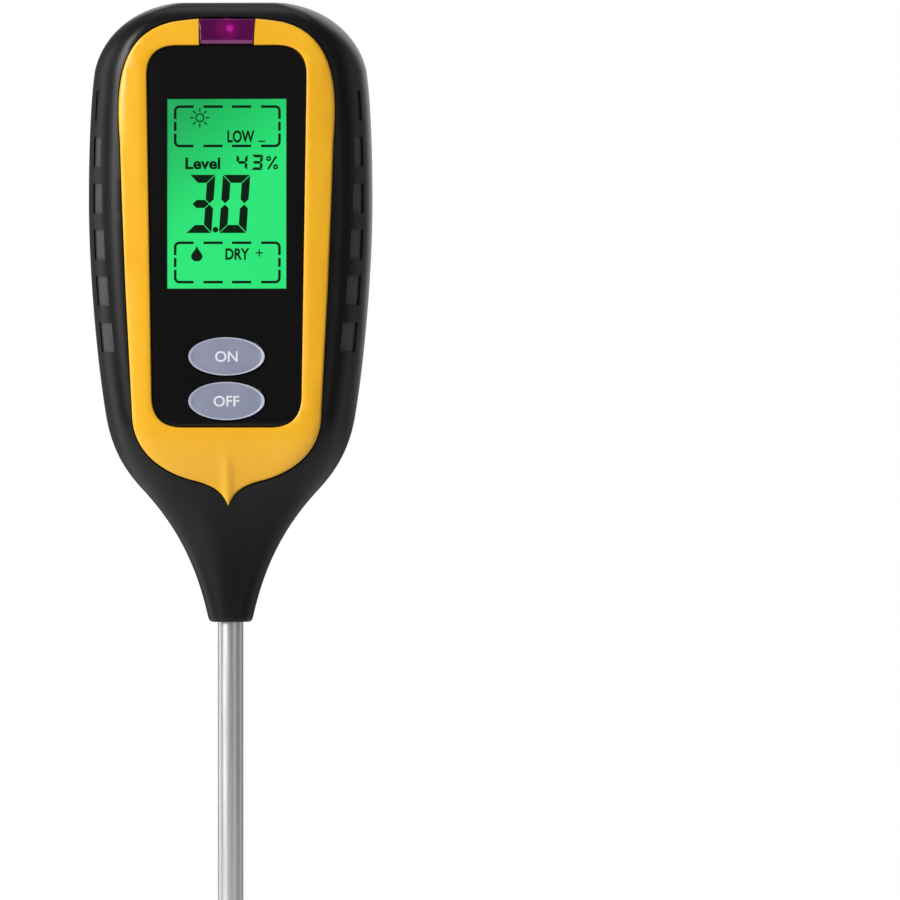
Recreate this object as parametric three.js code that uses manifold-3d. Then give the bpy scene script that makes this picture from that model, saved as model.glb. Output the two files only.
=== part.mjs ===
// Soil moisture meter with a battery-powered head and a metal probe, as separate pieces.
// Millimetres. +Z runs up the probe axis towards the head, -Y is the display side, +X is to the
// right as seen from the display side. The origin is on the probe axis in the plane of the neck's
// end face, which meets the soil when the probe is pushed fully in.

import * as THREE from 'three';
import { ParametricGeometry } from 'three/addons/geometries/ParametricGeometry.js';
import { mergeVertices } from 'three/addons/utils/BufferGeometryUtils.js';
import Module from 'manifold-3d';

const wasm = await Module();
wasm.setup();

// ---------------------------------------------------------------- driving dimensions

const HEAD_HEIGHT = 135;
const HEAD_WIDTH = 62;
const FRONT_DEPTH = 14; // parting plane to display side
const BACK_DEPTH = 22; // parting plane to battery door
const FLARE_HEIGHT = 45; // neck end to where the sides straighten
const NECK_RADIUS = 4.7;
const WALL = 2.4;
const GAP = 0.3; // clearance between fixed pieces
const PART_LINE = 0.3; // groove between the two housings
const RUN = 0.35; // clearance around a moving piece

const RIM = 7.4; // housing border outside the trim ring
const RING_TOP = 3.4; // ring below the top of the head
const RING_TIP = 25.3; // ring's lower point above the neck end
const RING_BAND = 6.3;
const RING_PROUD = 0.8;
const RING_SEAT = 1.2;
const BOWL_HEIGHT = 18.7; // ring tip to the start of its straight sides

const PANEL_THICK = 1.1;
const PANEL_BOTTOM = 42.7;
const PANEL_TAPER = 1.3;
const PANEL_CORNER = 6.5;

const LCD_WIDTH = 25.9;
const LCD_HEIGHT = 41.2;
const LCD_FROM_TOP = 41.75; // top of the head to the middle of the view area
const LCD_SIDE = 1.75; // glass outside the view area, at each side
const LCD_LEDGE = 2.4; // glass outside the view area, at top and bottom
const GLASS_THICK = 2.2;
const GUIDE_THICK = 3.5;
const STRIP_HEIGHT = 2;

const WINDOW_WIDTH = 12.1;
const SENSOR_RADIUS = 2.45;
const SENSOR_FROM_TOP = 5.9;

const BOARD_THICK = 1.6;
const BOARD_BOTTOM = 44;
const BOARD_FROM_TOP = 4;
const BOARD_INSET = 12.5; // board edge inside the side of the head

const BUTTON_WIDTH = 16.6;
const BUTTON_HEIGHT = 8.3;
const BUTTON_PROUD = 0.6;
const BUTTON_TRAVEL = 0.8;
const BUTTON_EAR = 1.2;
const BUTTON_HIGH = 15.2; // centre of the upper button above the panel's bottom
const BUTTON_PITCH = 9.7;
const PLUNGER_RADIUS = 1.5;
const SWITCH_SIDE = 6;
const SWITCH_TALL = 2.5;

const GRIP_COUNT = 6;
const GRIP_FROM_TOP = 22.4;
const GRIP_PITCH = 10.1;
const GRIP_HEIGHT = 6.5;
const GRIP_EDGE = 1.6;
const GRIP_DEEP = 1.2;
const GRIP_NARROW = 0.5; // seen from the front, at the top
const GRIP_WIDE = 3; // seen from the front, at the bottom

const SCREW_HEAD = 2.2; // radii
const SCREW_SHANK = 1.2;
const SCREW_WELL = 2.55;
const BOSS = 3.6;
const SCREW_LENGTH = 10;
const SCREW_HEAD_TALL = 1.8;
const SCREW_SEAT_Y = 3.2;

const PIN_RADIUS = 0.9;
const PIN_X = 6.9;
const PIN_Z = 21.1;

const DOOR_WIDTH = 36.3;
const DOOR_HEIGHT = 62;
const DOOR_THICK = 2;
const DOOR_BOW = 0.8; // rise of the door's top edge at its middle
const DOOR_FROM_TOP = 19.4;
const HOOK_WIDTH = 5;
const HOOK_X = 11.5;

const LATCH_WIDTH = 10.6;
const LATCH_LENGTH = 11.6;
const LATCH_SIDE = 0.85; // recess outside the tongue
const LATCH_THICK = 1.4;
const LATCH_DEEP = 3.6; // recess floor below the door face
const THUMB_WIDTH = 6.8;

const BATTERY_WIDTH = 26.5;
const BATTERY_DEEP = 17.5;
const BATTERY_TALL = 48.5;
const BATTERY_FROM_TOP = 29;
const BATTERY_BACK = 0.5; // battery to the inside of the door
const TERMINAL_X = 6.35;
const TERMINAL_TALL = 2.5;
const TERMINAL_RADIUS = 3;
const SNAP_TALL = 4.5;
const BAY_SIDE = 2.2; // battery to the bay walls
const BAY_WALL = 1.6;

const RECESS_WIDTH = 22.6;
const RECESS_HEIGHT = 12.7;
const RECESS_FROM_TOP = 3.4;
const RECESS_FLOOR_Y = 16.5;
const FLOOR_THICK = 2.3;
const KNOB_WIDTH = 14.2;
const KNOB_HEIGHT = 8.5;
const KNOB_THICK = 2;
const KNOB_RIB = 5.3;
const KNOB_PROUD = 1.9;
const KNOB_REST_X = 1.4;
const KNOB_TRAVEL = 3.2;
const STEM_WIDTH = 4;
const STEM_TALL = 3;
const SWITCH_BOARD_Y = 6.1; // back face of the slide switch's board

const VENT_COUNT = 4;
const VENT_X = -25.7;
const VENT_LENGTH = 4.8;
const VENT_HIGH = 0.8;
const VENT_PITCH = 2.57;
const VENT_FROM_TOP = 51.5;

const PROBE_RADIUS = 2.8;
const PROBE_BORE = 2.2;
const PROBE_LENGTH = 197.1; // neck end to tip
const PROBE_IN_HEAD = 36;
const TIP_LENGTH = 12.4;
const RING_LENGTH = 2; // insulating ring seen between tube and tip
const COLLAR_RADIUS = 6.2;
const COLLAR_TALL = 3;
const NECK_SOLID = 28; // solid part of the neck, around the probe
const LEAD_RADIUS = 0.5;

// ---------------------------------------------------------------- materials

function paint(name, colour, roughness, metalness = 0) {
  return new THREE.MeshStandardMaterial({ name, color: colour, roughness, metalness });
}

const blackPlastic = paint('black_plastic', 0x17181a, 0.5);
const glossBlack = paint('gloss_black', 0x050506, 0.08);
const yellowPlastic = paint('yellow_plastic', 0xf7b52a, 0.35);
const darkWindow = paint('dark_window', 0x3a1038, 0.1);
const lcdGlass = paint('lcd_glass', 0x35d47c, 0.15);
const clearGuide = paint('light_guide', 0xd8f2e2, 0.3);
const greyButton = paint('grey_button', 0x8f93a8, 0.45);
const boardGreen = paint('board_green', 0x1d5a34, 0.5);
const chipBlack = paint('chip_black', 0x141414, 0.4);
const strip = paint('elastomer', 0x5a2f2a, 0.8);
const brightMetal = paint('bright_metal', 0xc9ccd0, 0.28, 1);
const screwSteel = paint('screw_steel', 0x8b8d90, 0.35, 1);
const brass = paint('brass', 0xb08d4a, 0.35, 1);
const whitePlastic = paint('white_plastic', 0xe8e8e4, 0.5);
const batterySleeve = paint('battery_sleeve', 0x2b3f66, 0.4);
const redWire = paint('red_wire', 0xb3201d, 0.5);
const blackWire = paint('black_wire', 0x121212, 0.5);
const sensorGlass = paint('sensor_glass', 0xc040a0, 0.15);

// ---------------------------------------------------------------- solids

// A closed three.js geometry as a solid that can be cut and joined.
function solid(geometry) {
  const bare = new THREE.BufferGeometry();
  bare.setAttribute('position', geometry.getAttribute('position').clone());
  bare.setIndex(geometry.index);
  const merged = mergeVertices(bare, 1e-4);
  const corners = Array.from(merged.index ? merged.index.array : bare.index.array);
  const triangles = [];
  for (let i = 0; i < corners.length; i += 3) {
    const [a, b, c] = corners.slice(i, i + 3);
    if (a !== b && b !== c && c !== a) {
      triangles.push(a, b, c);
    }
  }
  return new wasm.Manifold(new wasm.Mesh({
    numProp: 3,
    vertProperties: merged.attributes.position.array,
    triVerts: new Uint32Array(triangles),
  }));
}

function geometryOf(made) {
  const mesh = made.getMesh();
  const geometry = new THREE.BufferGeometry();
  geometry.setAttribute('position', new THREE.BufferAttribute(mesh.vertProperties, 3));
  geometry.setIndex(new THREE.BufferAttribute(mesh.triVerts, 1));
  return geometry;
}

function box(lowX, highX, lowY, highY, lowZ, highZ) {
  const block = new THREE.BoxGeometry(highX - lowX, highY - lowY, highZ - lowZ);
  block.translate((lowX + highX) / 2, (lowY + highY) / 2, (lowZ + highZ) / 2);
  return solid(block);
}

// A round rod along Y.
function rodY(x, z, radius, lowY, highY, sides = 14) {
  const rod = new THREE.CylinderGeometry(radius, radius, highY - lowY, sides);
  rod.translate(x, (lowY + highY) / 2, z);
  return solid(rod);
}

// A round rod along Z.
function rodZ(x, y, radius, lowZ, highZ, sides = 16) {
  const rod = new THREE.CylinderGeometry(radius, radius, highZ - lowZ, sides);
  rod.rotateX(Math.PI / 2);
  rod.translate(x, y, (lowZ + highZ) / 2);
  return solid(rod);
}

// A shape drawn in X and Z, given its thickness along Y.
function plate(shape, lowY, highY, curveSegments = 8) {
  const slab = new THREE.ExtrudeGeometry(shape, {
    depth: highY - lowY,
    bevelEnabled: false,
    curveSegments,
  });
  slab.rotateX(Math.PI / 2);
  slab.translate(0, highY, 0);
  return solid(slab);
}

// A profile of [radius, height] pairs turned about the probe axis.
function turned(profile, sides = 20) {
  const points = profile.map(([radius, height]) => new THREE.Vector2(radius, height));
  const lathe = new THREE.LatheGeometry(points, sides);
  lathe.rotateX(Math.PI / 2);
  return solid(lathe);
}

// A wire along a smooth path through a few points.
function wire(points, radius, steps, tension = 0.3) {
  const places = points.map(([x, y, z]) => new THREE.Vector3(x, y, z));
  const path = new THREE.CatmullRomCurve3(places, false, 'catmullrom', tension);
  const section = new THREE.Shape();
  section.absarc(0, 0, radius, 0, Math.PI * 2, false);
  const geometry = new THREE.ExtrudeGeometry(section, {
    steps,
    curveSegments: 3,
    bevelEnabled: false,
    extrudePath: path,
  });
  return solid(geometry);
}

function join(...solids) {
  return solids.reduce((whole, next) => whole.add(next));
}

function cut(from, ...tools) {
  return tools.reduce((left, tool) => left.subtract(tool), from);
}

// ---------------------------------------------------------------- outlines

// A rectangle with round corners, narrower at the bottom by the taper on each side, and with a top
// edge that may be bowed.
function roundedPanel(halfWidth, low, high, corner, taper = 0, bow = 0) {
  const base = halfWidth - taper;
  const lean = taper / (high - low);
  const shape = new THREE.Shape();
  shape.moveTo(-base + corner, low);
  shape.lineTo(base - corner, low);
  shape.quadraticCurveTo(base, low, base + lean * corner, low + corner);
  shape.lineTo(halfWidth - lean * corner, high - corner);
  shape.quadraticCurveTo(halfWidth, high, halfWidth - corner, high);
  shape.quadraticCurveTo(0, high + bow * 2, -halfWidth + corner, high);
  shape.quadraticCurveTo(-halfWidth, high, -halfWidth + lean * corner, high - corner);
  shape.lineTo(-base - lean * corner, low + corner);
  shape.quadraticCurveTo(-base, low, -base + corner, low);
  return shape;
}

function ellipse(z, halfWidth, halfHeight) {
  const shape = new THREE.Shape();
  shape.absellipse(0, z, halfWidth, halfHeight, 0, Math.PI * 2, false, 0);
  return shape;
}

// The tongue's outline and its recess: straight sides and a round lower end.
function tongue(halfWidth, low, high) {
  const shape = new THREE.Shape();
  shape.moveTo(halfWidth, high);
  shape.lineTo(-halfWidth, high);
  shape.lineTo(-halfWidth, low + halfWidth * 0.7);
  shape.quadraticCurveTo(-halfWidth, low, 0, low);
  shape.quadraticCurveTo(halfWidth, low, halfWidth, low + halfWidth * 0.7);
  return shape;
}

const ringHalf = HEAD_WIDTH / 2 - RIM;
const ringHigh = HEAD_HEIGHT - RING_TOP;

// The ring's outer edge: a pointed tip, a bowl, leaning sides and a round top.
function ringOutline(grow) {
  const side = ringHalf + grow;
  const top = ringHigh + grow;
  const tip = RING_TIP - grow * 1.5;
  const bowl = tip + BOWL_HEIGHT;
  const low = side * 0.87;
  const shape = new THREE.Shape();
  shape.moveTo(0, tip);
  shape.bezierCurveTo(0.8, tip + 1.9, 1.6, tip + 4, side * 0.28, tip + 5.4);
  shape.bezierCurveTo(side * 0.56, tip + 6.9, side * 0.84, tip + 10.9, low, bowl);
  shape.bezierCurveTo(side * 0.9, bowl + 14, side * 0.95, bowl + 32, side * 0.985, top - 27);
  shape.bezierCurveTo(side * 1.04, top - 13, side * 0.95, top - 3.6, side * 0.52, top - 1);
  shape.bezierCurveTo(side * 0.36, top - 0.3, side * 0.18, top, 0, top);
  shape.bezierCurveTo(-side * 0.18, top, -side * 0.36, top - 0.3, -side * 0.52, top - 1);
  shape.bezierCurveTo(-side * 0.95, top - 3.6, -side * 1.04, top - 13, -side * 0.985, top - 27);
  shape.bezierCurveTo(-side * 0.95, bowl + 32, -side * 0.9, bowl + 14, -low, bowl);
  shape.bezierCurveTo(-side * 0.84, tip + 10.9, -side * 0.56, tip + 6.9, -side * 0.28, tip + 5.4);
  shape.bezierCurveTo(-1.6, tip + 4, -0.8, tip + 1.9, 0, tip);
  return shape;
}

const panelHalf = ringHalf - RING_BAND;
const panelHigh = ringHigh - RING_BAND;

function panelOutline(grow) {
  const low = PANEL_BOTTOM - grow;
  const high = panelHigh + grow;
  return roundedPanel(panelHalf + grow, low, high, PANEL_CORNER + grow, PANEL_TAPER);
}

// ---------------------------------------------------------------- the head's outer skin

// Control points of joined cubic curves: [height share, size share], with every third point on
// the curve. A height share runs from 0 to 1 up the neck's flare and from 1 to 2 up the body, and
// a size share from 0 at the neck's radius to 1 at the full size.
const SIDE_CURVE = [
  [0, 0], [0.267, 0.095], [0.462, 0.266], [0.639, 0.548],
  [0.741, 0.711], [0.843, 0.81], [1.001, 0.856],
  [1.11, 0.92], [1.334, 1], [1.522, 1],
  [1.644, 1], [1.766, 0.985], [1.835, 0.951],
  [1.911, 0.901], [1.982, 0.677], [2, 0.316],
];
const FRONT_CURVE = [
  [0, 0], [0.24, 0.09], [0.45, 0.2], [0.615, 0.45],
  [0.72, 0.68], [0.81, 1], [0.96, 1],
  [1.25, 1], [1.7, 1], [1.895, 1],
  [1.948, 1], [1.985, 0.85], [2, 0.4],
];
const BACK_CURVE = [
  [0, 0], [0.24, 0.08], [0.45, 0.22], [0.63, 0.48],
  [0.78, 0.74], [0.96, 1], [1.078, 1],
  [1.25, 1], [1.625, 1], [1.793, 1],
  [1.895, 1], [1.978, 0.85], [2, 0.3],
];

function bezierAt(a, b, c, d, t) {
  const s = 1 - t;
  return s * s * s * a + 3 * s * s * t * b + 3 * s * t * t * c + t * t * t * d;
}

// The size share at a height share, found by halving along the curve that spans that height.
function shareAt(curve, height) {
  let start = 0;
  while (start + 6 < curve.length && curve[start + 3][0] < height) {
    start += 3;
  }
  const [a, b, c, d] = curve.slice(start, start + 4);
  let low = 0;
  let high = 1;
  for (let i = 0; i < 40; i++) {
    const middle = (low + high) / 2;
    if (bezierAt(a[0], b[0], c[0], d[0], middle) < height) {
      low = middle;
    } else {
      high = middle;
    }
  }
  return bezierAt(a[1], b[1], c[1], d[1], low);
}

const BODY_HEIGHT = HEAD_HEIGHT - FLARE_HEIGHT;

function heightShare(z) {
  return z < FLARE_HEIGHT ? z / FLARE_HEIGHT : 1 + (z - FLARE_HEIGHT) / BODY_HEIGHT;
}

function heightAt(share) {
  return share < 1 ? share * FLARE_HEIGHT : FLARE_HEIGHT + (share - 1) * BODY_HEIGHT;
}

function sizeAt(curve, full, z) {
  return NECK_RADIUS + (full - NECK_RADIUS) * shareAt(curve, heightShare(z));
}

const halfWidthAt = (z) => sizeAt(SIDE_CURVE, HEAD_WIDTH / 2, z);
const frontAt = (z) => sizeAt(FRONT_CURVE, FRONT_DEPTH, z);
const backAt = (z) => sizeAt(BACK_CURVE, BACK_DEPTH, z);

// How much of the width is flat: little at the round neck, most at the face and the back.
const FLAT_NECK = 0.1;
const FLAT_FRONT = 0.72;
const FLAT_BACK = 0.66;
const flatAt = (z, full) => {
  return FLAT_NECK + (full - FLAT_NECK) * THREE.MathUtils.smoothstep(heightShare(z), 0.3, 1.04);
};

const ARC = 6; // segments in each corner arc of a section
const AROUND = 4 * ARC + 2;

// A point of the head's section at height z. Steps count round from +X over the back.
function sectionPoint(step, z, offset, target) {
  const half = halfWidthAt(z) + offset;
  const back = step <= 2 * ARC + 1;
  const depth = back ? backAt(z) + offset : -(frontAt(z) + offset);
  const flat = half * flatAt(z, back ? FLAT_BACK : FLAT_FRONT);
  const local = back ? step : AROUND - step;
  const right = local <= ARC;
  const turn = (right ? local : 2 * ARC + 1 - local) / ARC * Math.PI / 2;
  const x = flat + (half - flat) * Math.cos(turn);
  target.set(right ? x : -x, depth * Math.sin(turn), z);
}

// The heights of the sections: even along the sides and closer where the outline turns.
const SECTIONS = [0, 0.18, 0.33, 0.45, 0.56, 0.65, 0.73, 0.8, 0.87, 1, 1.09, 1.25, 1.43, 1.61,
  1.76, 1.85, 1.91, 1.95, 1.978, 1.993, 2];

// The head's skin moved out by the offset, or in where it is negative, between two heights.
function skin(offset, low = 0, high = HEAD_HEIGHT) {
  const inside = SECTIONS.map(heightAt).filter((z) => z > low && z < high);
  const heights = [low, ...inside, high];
  const stacks = heights.length + 1;
  const surface = new ParametricGeometry((u, v, target) => {
    const row = Math.round(v * stacks) - 1;
    if (row < 0) {
      target.set(0, 0, low);
    } else if (row >= heights.length) {
      target.set(0, 0, high);
    } else {
      sectionPoint(Math.round(u * AROUND) % AROUND, heights[row], offset, target);
    }
  }, AROUND, stacks);
  return solid(surface);
}

// ---------------------------------------------------------------- places worked out once

const FAR = 60; // past the head on any side
const lcdZ = HEAD_HEIGHT - LCD_FROM_TOP;
const sensorZ = HEAD_HEIGHT - SENSOR_FROM_TOP;
const panelY = -FRONT_DEPTH;
const panelBackY = panelY + PANEL_THICK;
const panelFloorY = panelBackY + GAP;
const innerY = -FRONT_DEPTH + WALL;
const glassY = panelBackY + GAP;
const guideY = glassY + GLASS_THICK + GAP;
const boardY = guideY + GUIDE_THICK + GAP;
const boardBackY = boardY + BOARD_THICK;
const wireEndY = boardBackY + GAP + 0.4; // a lead slants onto the board, so its end stands off
const boardHalf = HEAD_WIDTH / 2 - BOARD_INSET;
const boardTop = HEAD_HEIGHT - BOARD_FROM_TOP;
const buttonZ = [PANEL_BOTTOM + BUTTON_HIGH, PANEL_BOTTOM + BUTTON_HIGH - BUTTON_PITCH];
const earY = innerY + GAP;
const earBackY = earY + 1;
const switchY = boardY - GAP - SWITCH_TALL;

const doorTop = HEAD_HEIGHT - DOOR_FROM_TOP;
const doorLow = doorTop - DOOR_HEIGHT;
const doorInnerY = BACK_DEPTH - DOOR_THICK;
const batteryTop = HEAD_HEIGHT - BATTERY_FROM_TOP;
const batteryLow = batteryTop - BATTERY_TALL;
const batteryBackY = doorInnerY - BATTERY_BACK;
const batteryMidY = batteryBackY - BATTERY_DEEP / 2;
const bayHalf = BATTERY_WIDTH / 2 + BAY_SIDE;
const bayLow = batteryLow - GAP * 2;
const bayTop = doorTop - BAY_WALL - 1;
const bayFloorY = batteryBackY - BATTERY_DEEP - GAP;
const leadHoleX = -9;
const leadHoleZ = bayTop - 1.3;

const recessHigh = HEAD_HEIGHT - RECESS_FROM_TOP;
const recessLow = recessHigh - RECESS_HEIGHT;
const knobZ = (recessHigh + recessLow) / 2 - 0.9;
const snapLow = batteryTop + GAP;
const tubeLow = -(PROBE_LENGTH - TIP_LENGTH - RING_LENGTH);
const tipTop = -(PROBE_LENGTH - TIP_LENGTH);

// Screws: beside the recess, beside the door and above the neck, on both sides.
const screwPlaces = [
  ['top', HEAD_WIDTH / 2 - 8.5, HEAD_HEIGHT - 8.7],
  ['middle', HEAD_WIDTH / 2 - 4.6, HEAD_HEIGHT - 47.1],
  ['neck', 11.6, 30.5],
].flatMap(([level, x, z]) => [
  { name: `housing_screw_${level}_left`, x: -x, z },
  { name: `housing_screw_${level}_right`, x, z },
]);
const boardScrewPlaces = [
  ['upper', boardHalf - 1.9, HEAD_HEIGHT - 13],
  ['lower', boardHalf - 1.9, PANEL_BOTTOM + 21],
].flatMap(([level, x, z]) => [
  { name: `board_screw_${level}_left`, x: -x, z },
  { name: `board_screw_${level}_right`, x, z },
]);
const BOARD_SCREW_HEAD = 1.6;
const BOARD_SCREW_SHANK = 0.7;
const BOARD_POST = 1.8;

const wholeSkin = skin(0);
const cavity = skin(-WALL, NECK_SOLID, HEAD_HEIGHT - WALL);
const probeBore = rodZ(0, 0, PROBE_RADIUS + GAP, -1, NECK_SOLID + 1, 20);
const pins = [-PIN_X, PIN_X];
const pinHoles = pins.map((x) => rodY(x, PIN_Z, PIN_RADIUS + GAP, -5, FAR));

const pieces = [];

function add(name, material, shape) {
  const geometry = shape instanceof THREE.BufferGeometry ? shape : geometryOf(shape);
  const mesh = new THREE.Mesh(geometry, material);
  mesh.name = name;
  pieces.push(mesh);
}

// ---------------------------------------------------------------- front housing

function gripPocket(side, index) {
  const z = HEAD_HEIGHT - GRIP_FROM_TOP - index * GRIP_PITCH;
  const share = Math.sqrt(index / (GRIP_COUNT - 1));
  const seen = GRIP_NARROW + (GRIP_WIDE - GRIP_NARROW) * share;
  const outer = side * (halfWidthAt(z) - GRIP_EDGE);
  const inner = outer - side * seen;
  const lowX = Math.min(outer, inner);
  const highX = Math.max(outer, inner);
  return box(lowX, highX, -FAR, -2, z - GRIP_HEIGHT / 2, z + GRIP_HEIGHT / 2);
}

function frontHousing() {
  const half = box(-FAR, FAR, -FAR, -PART_LINE / 2, -1, HEAD_HEIGHT + 1);
  const bosses = screwPlaces.map(({ x, z }) => rodY(x, z, BOSS - 0.6, -FAR, -PART_LINE / 2));
  const posts = boardScrewPlaces.map(({ x, z }) => rodY(x, z, BOARD_POST, -FAR, boardY - GAP));
  const shell = cut(wholeSkin.intersect(half), cavity);
  const filled = join(shell, ...[...bosses, ...posts].map((rod) => rod.intersect(wholeSkin)
    .intersect(half)));
  const frontOnly = box(-FAR, FAR, -FAR, -3, -1, HEAD_HEIGHT + 1);
  const seat = cut(plate(ringOutline(GAP), -FAR, -3), skin(-RING_SEAT)).intersect(frontOnly);
  const panelPocket = plate(panelOutline(GAP), -FAR, panelFloorY);
  const lcdHalf = LCD_WIDTH / 2 + LCD_SIDE + GAP;
  const lcdTall = LCD_HEIGHT / 2 + LCD_LEDGE + GAP;
  const aperture = box(-lcdHalf, lcdHalf, -FAR, boardY - 1, lcdZ - lcdTall, lcdZ + lcdTall);
  const buttonHoles = buttonZ.map((z) => {
    return plate(ellipse(z, BUTTON_WIDTH / 2 + RUN, BUTTON_HEIGHT / 2 + RUN), -FAR, innerY + 1);
  });
  const sensorHole = rodY(0, sensorZ, SENSOR_RADIUS + GAP, -FAR, boardY, 18);
  const pilots = screwPlaces.map(({ x, z }) => {
    return rodY(x, z, SCREW_SHANK + GAP, SCREW_SEAT_Y - SCREW_LENGTH - GAP, FAR);
  });
  const postHoles = boardScrewPlaces.map(({ x, z }) => {
    return rodY(x, z, BOARD_SCREW_SHANK + GAP, innerY + 0.6, FAR);
  });
  const collarRoom = rodZ(0, 0, COLLAR_RADIUS + GAP, NECK_SOLID - 0.5, NECK_SOLID + 6, 20);
  const grips = [];
  for (let index = 0; index < GRIP_COUNT; index++) {
    grips.push(gripPocket(-1, index), gripPocket(1, index));
  }
  const gripCut = cut(join(...grips), skin(-GRIP_DEEP));
  return cut(filled, seat, panelPocket, aperture, ...buttonHoles, sensorHole, ...pilots,
    ...postHoles, collarRoom, gripCut, probeBore, ...pinHoles);
}

add('front_housing', blackPlastic, frontHousing());

// ---------------------------------------------------------------- rear housing

function rearHousing() {
  const half = box(-FAR, FAR, PART_LINE / 2, FAR, -1, HEAD_HEIGHT + 1);
  const shell = cut(wholeSkin.intersect(half), cavity);
  const wallX = bayHalf + BAY_WALL;
  const bayOuter = box(-wallX, wallX, PART_LINE / 2, doorInnerY - GAP, bayLow - BAY_WALL,
    bayTop + BAY_WALL);
  const bayInner = box(-bayHalf, bayHalf, bayFloorY, FAR, bayLow, bayTop);
  const bosses = screwPlaces.map(({ x, z }) => rodY(x, z, BOSS, PART_LINE / 2, FAR));
  const floorLow = RECESS_FLOOR_Y - FLOOR_THICK;
  const recessX = RECESS_WIDTH / 2;
  const recessFloor = box(-recessX - 2, recessX + 2, floorLow, FAR, recessLow - 2, recessHigh + 2);
  const heatStakes = [-8, 8].map((x) => {
    return rodY(x, knobZ + 2, 1.2, SWITCH_BOARD_Y + GAP, floorLow + 1);
  });
  const latchX = LATCH_WIDTH / 2 + LATCH_SIDE;
  const latchHigh = doorLow + GAP + 1;
  const latchLow = doorLow - LATCH_LENGTH - LATCH_SIDE;
  const latchFloorY = BACK_DEPTH - LATCH_DEEP;
  const latchPad = box(-latchX - 1.6, latchX + 1.6, latchFloorY - 1.6, FAR, latchLow - 1.6,
    latchHigh + 1);
  const added = [bayOuter, recessFloor, latchPad, ...bosses].map((block) => {
    return block.intersect(wholeSkin);
  });
  const filled = join(shell, ...added, ...heatStakes);
  const doorHalf = DOOR_WIDTH / 2 + RUN;
  const doorHole = plate(roundedPanel(doorHalf, doorLow - RUN, doorTop + RUN, 1, 0, DOOR_BOW),
    doorInnerY - GAP, FAR);
  const hookRooms = [-HOOK_X, HOOK_X].map((x) => {
    const wide = HOOK_WIDTH / 2 + RUN;
    return box(x - wide, x + wide, doorInnerY - 5.5, doorInnerY - GAP + 0.1, doorTop - 4,
      doorTop + 3);
  });
  const recess = box(-recessX, recessX, RECESS_FLOOR_Y, FAR, recessLow, recessHigh);
  const slotLow = KNOB_REST_X - KNOB_TRAVEL - STEM_WIDTH / 2 - RUN;
  const slotHigh = KNOB_REST_X + STEM_WIDTH / 2 + RUN;
  const slot = box(slotLow, slotHigh, floorLow - 1, FAR, knobZ - STEM_TALL / 2 - RUN,
    knobZ + STEM_TALL / 2 + RUN);
  const latchRoom = plate(tongue(latchX, latchLow, latchHigh), latchFloorY, FAR);
  const wells = screwPlaces.map(({ x, z }) => rodY(x, z, SCREW_WELL, SCREW_SEAT_Y, FAR, 18));
  const shanks = screwPlaces.map(({ x, z }) => rodY(x, z, SCREW_SHANK + GAP, -1, FAR));
  const vents = [];
  for (let index = 0; index < VENT_COUNT; index++) {
    const z = HEAD_HEIGHT - VENT_FROM_TOP - index * VENT_PITCH;
    vents.push(box(VENT_X - VENT_LENGTH / 2, VENT_X + VENT_LENGTH / 2, 8, FAR, z - VENT_HIGH / 2,
      z + VENT_HIGH / 2));
  }
  const leadHole = rodY(leadHoleX, leadHoleZ, 1.9, -1, bayFloorY + 1);
  const collarRoom = rodZ(0, 0, COLLAR_RADIUS + GAP, NECK_SOLID - 0.5, NECK_SOLID + 6, 20);
  return cut(filled, bayInner, doorHole, ...hookRooms, recess, slot, latchRoom, ...wells,
    ...shanks, ...vents, leadHole, collarRoom, probeBore, ...pinHoles);
}

add('rear_housing', blackPlastic, rearHousing());

// ---------------------------------------------------------------- face: ring, window, panel, LCD

function faceLayer(shape) {
  const layer = plate(shape, -FAR, -3, 10);
  return cut(layer.intersect(skin(RING_PROUD)), skin(GAP - RING_SEAT));
}

const windowHalf = WINDOW_WIDTH / 2;
const windowGap = box(-windowHalf - GAP, windowHalf + GAP, -FAR, 0, panelHigh - 2, FAR * 3);
const ringHole = plate(panelOutline(GAP), -FAR, 0, 10);
add('trim_ring', yellowPlastic, cut(faceLayer(ringOutline(0)), ringHole, windowGap));

const windowShape = new THREE.Shape();
windowShape.moveTo(-windowHalf + 0.4, panelHigh + GAP * 2);
windowShape.lineTo(windowHalf - 0.4, panelHigh + GAP * 2);
windowShape.lineTo(windowHalf, ringHigh - GAP);
windowShape.lineTo(-windowHalf, ringHigh - GAP);
add('sensor_window', darkWindow, faceLayer(windowShape));

const viewWindow = box(-LCD_WIDTH / 2, LCD_WIDTH / 2, -FAR, 0, lcdZ - LCD_HEIGHT / 2,
  lcdZ + LCD_HEIGHT / 2);
const panelButtonHoles = buttonZ.map((z) => {
  return plate(ellipse(z, BUTTON_WIDTH / 2 + RUN, BUTTON_HEIGHT / 2 + RUN), -FAR, 0);
});
add('face_panel', glossBlack, cut(plate(panelOutline(0), panelY, panelBackY), viewWindow,
  ...panelButtonHoles));

function lcdLayer(nearY, thick, ledge) {
  const halfX = LCD_WIDTH / 2 + LCD_SIDE;
  const halfZ = LCD_HEIGHT / 2 + ledge;
  return box(-halfX, halfX, nearY, nearY + thick, lcdZ - halfZ, lcdZ + halfZ);
}

add('lcd_glass', lcdGlass, lcdLayer(glassY, GLASS_THICK, LCD_LEDGE));
add('backlight_guide', clearGuide, lcdLayer(guideY, GUIDE_THICK, -0.6));
const stripZ = LCD_HEIGHT / 2 + LCD_LEDGE - STRIP_HEIGHT / 2;
for (const [name, z] of [['lcd_strip_upper', lcdZ + stripZ], ['lcd_strip_lower', lcdZ - stripZ]]) {
  add(name, strip, box(-LCD_WIDTH / 2, LCD_WIDTH / 2, guideY, guideY + GUIDE_THICK,
    z - STRIP_HEIGHT / 2, z + STRIP_HEIGHT / 2));
}

// ---------------------------------------------------------------- main board

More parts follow.
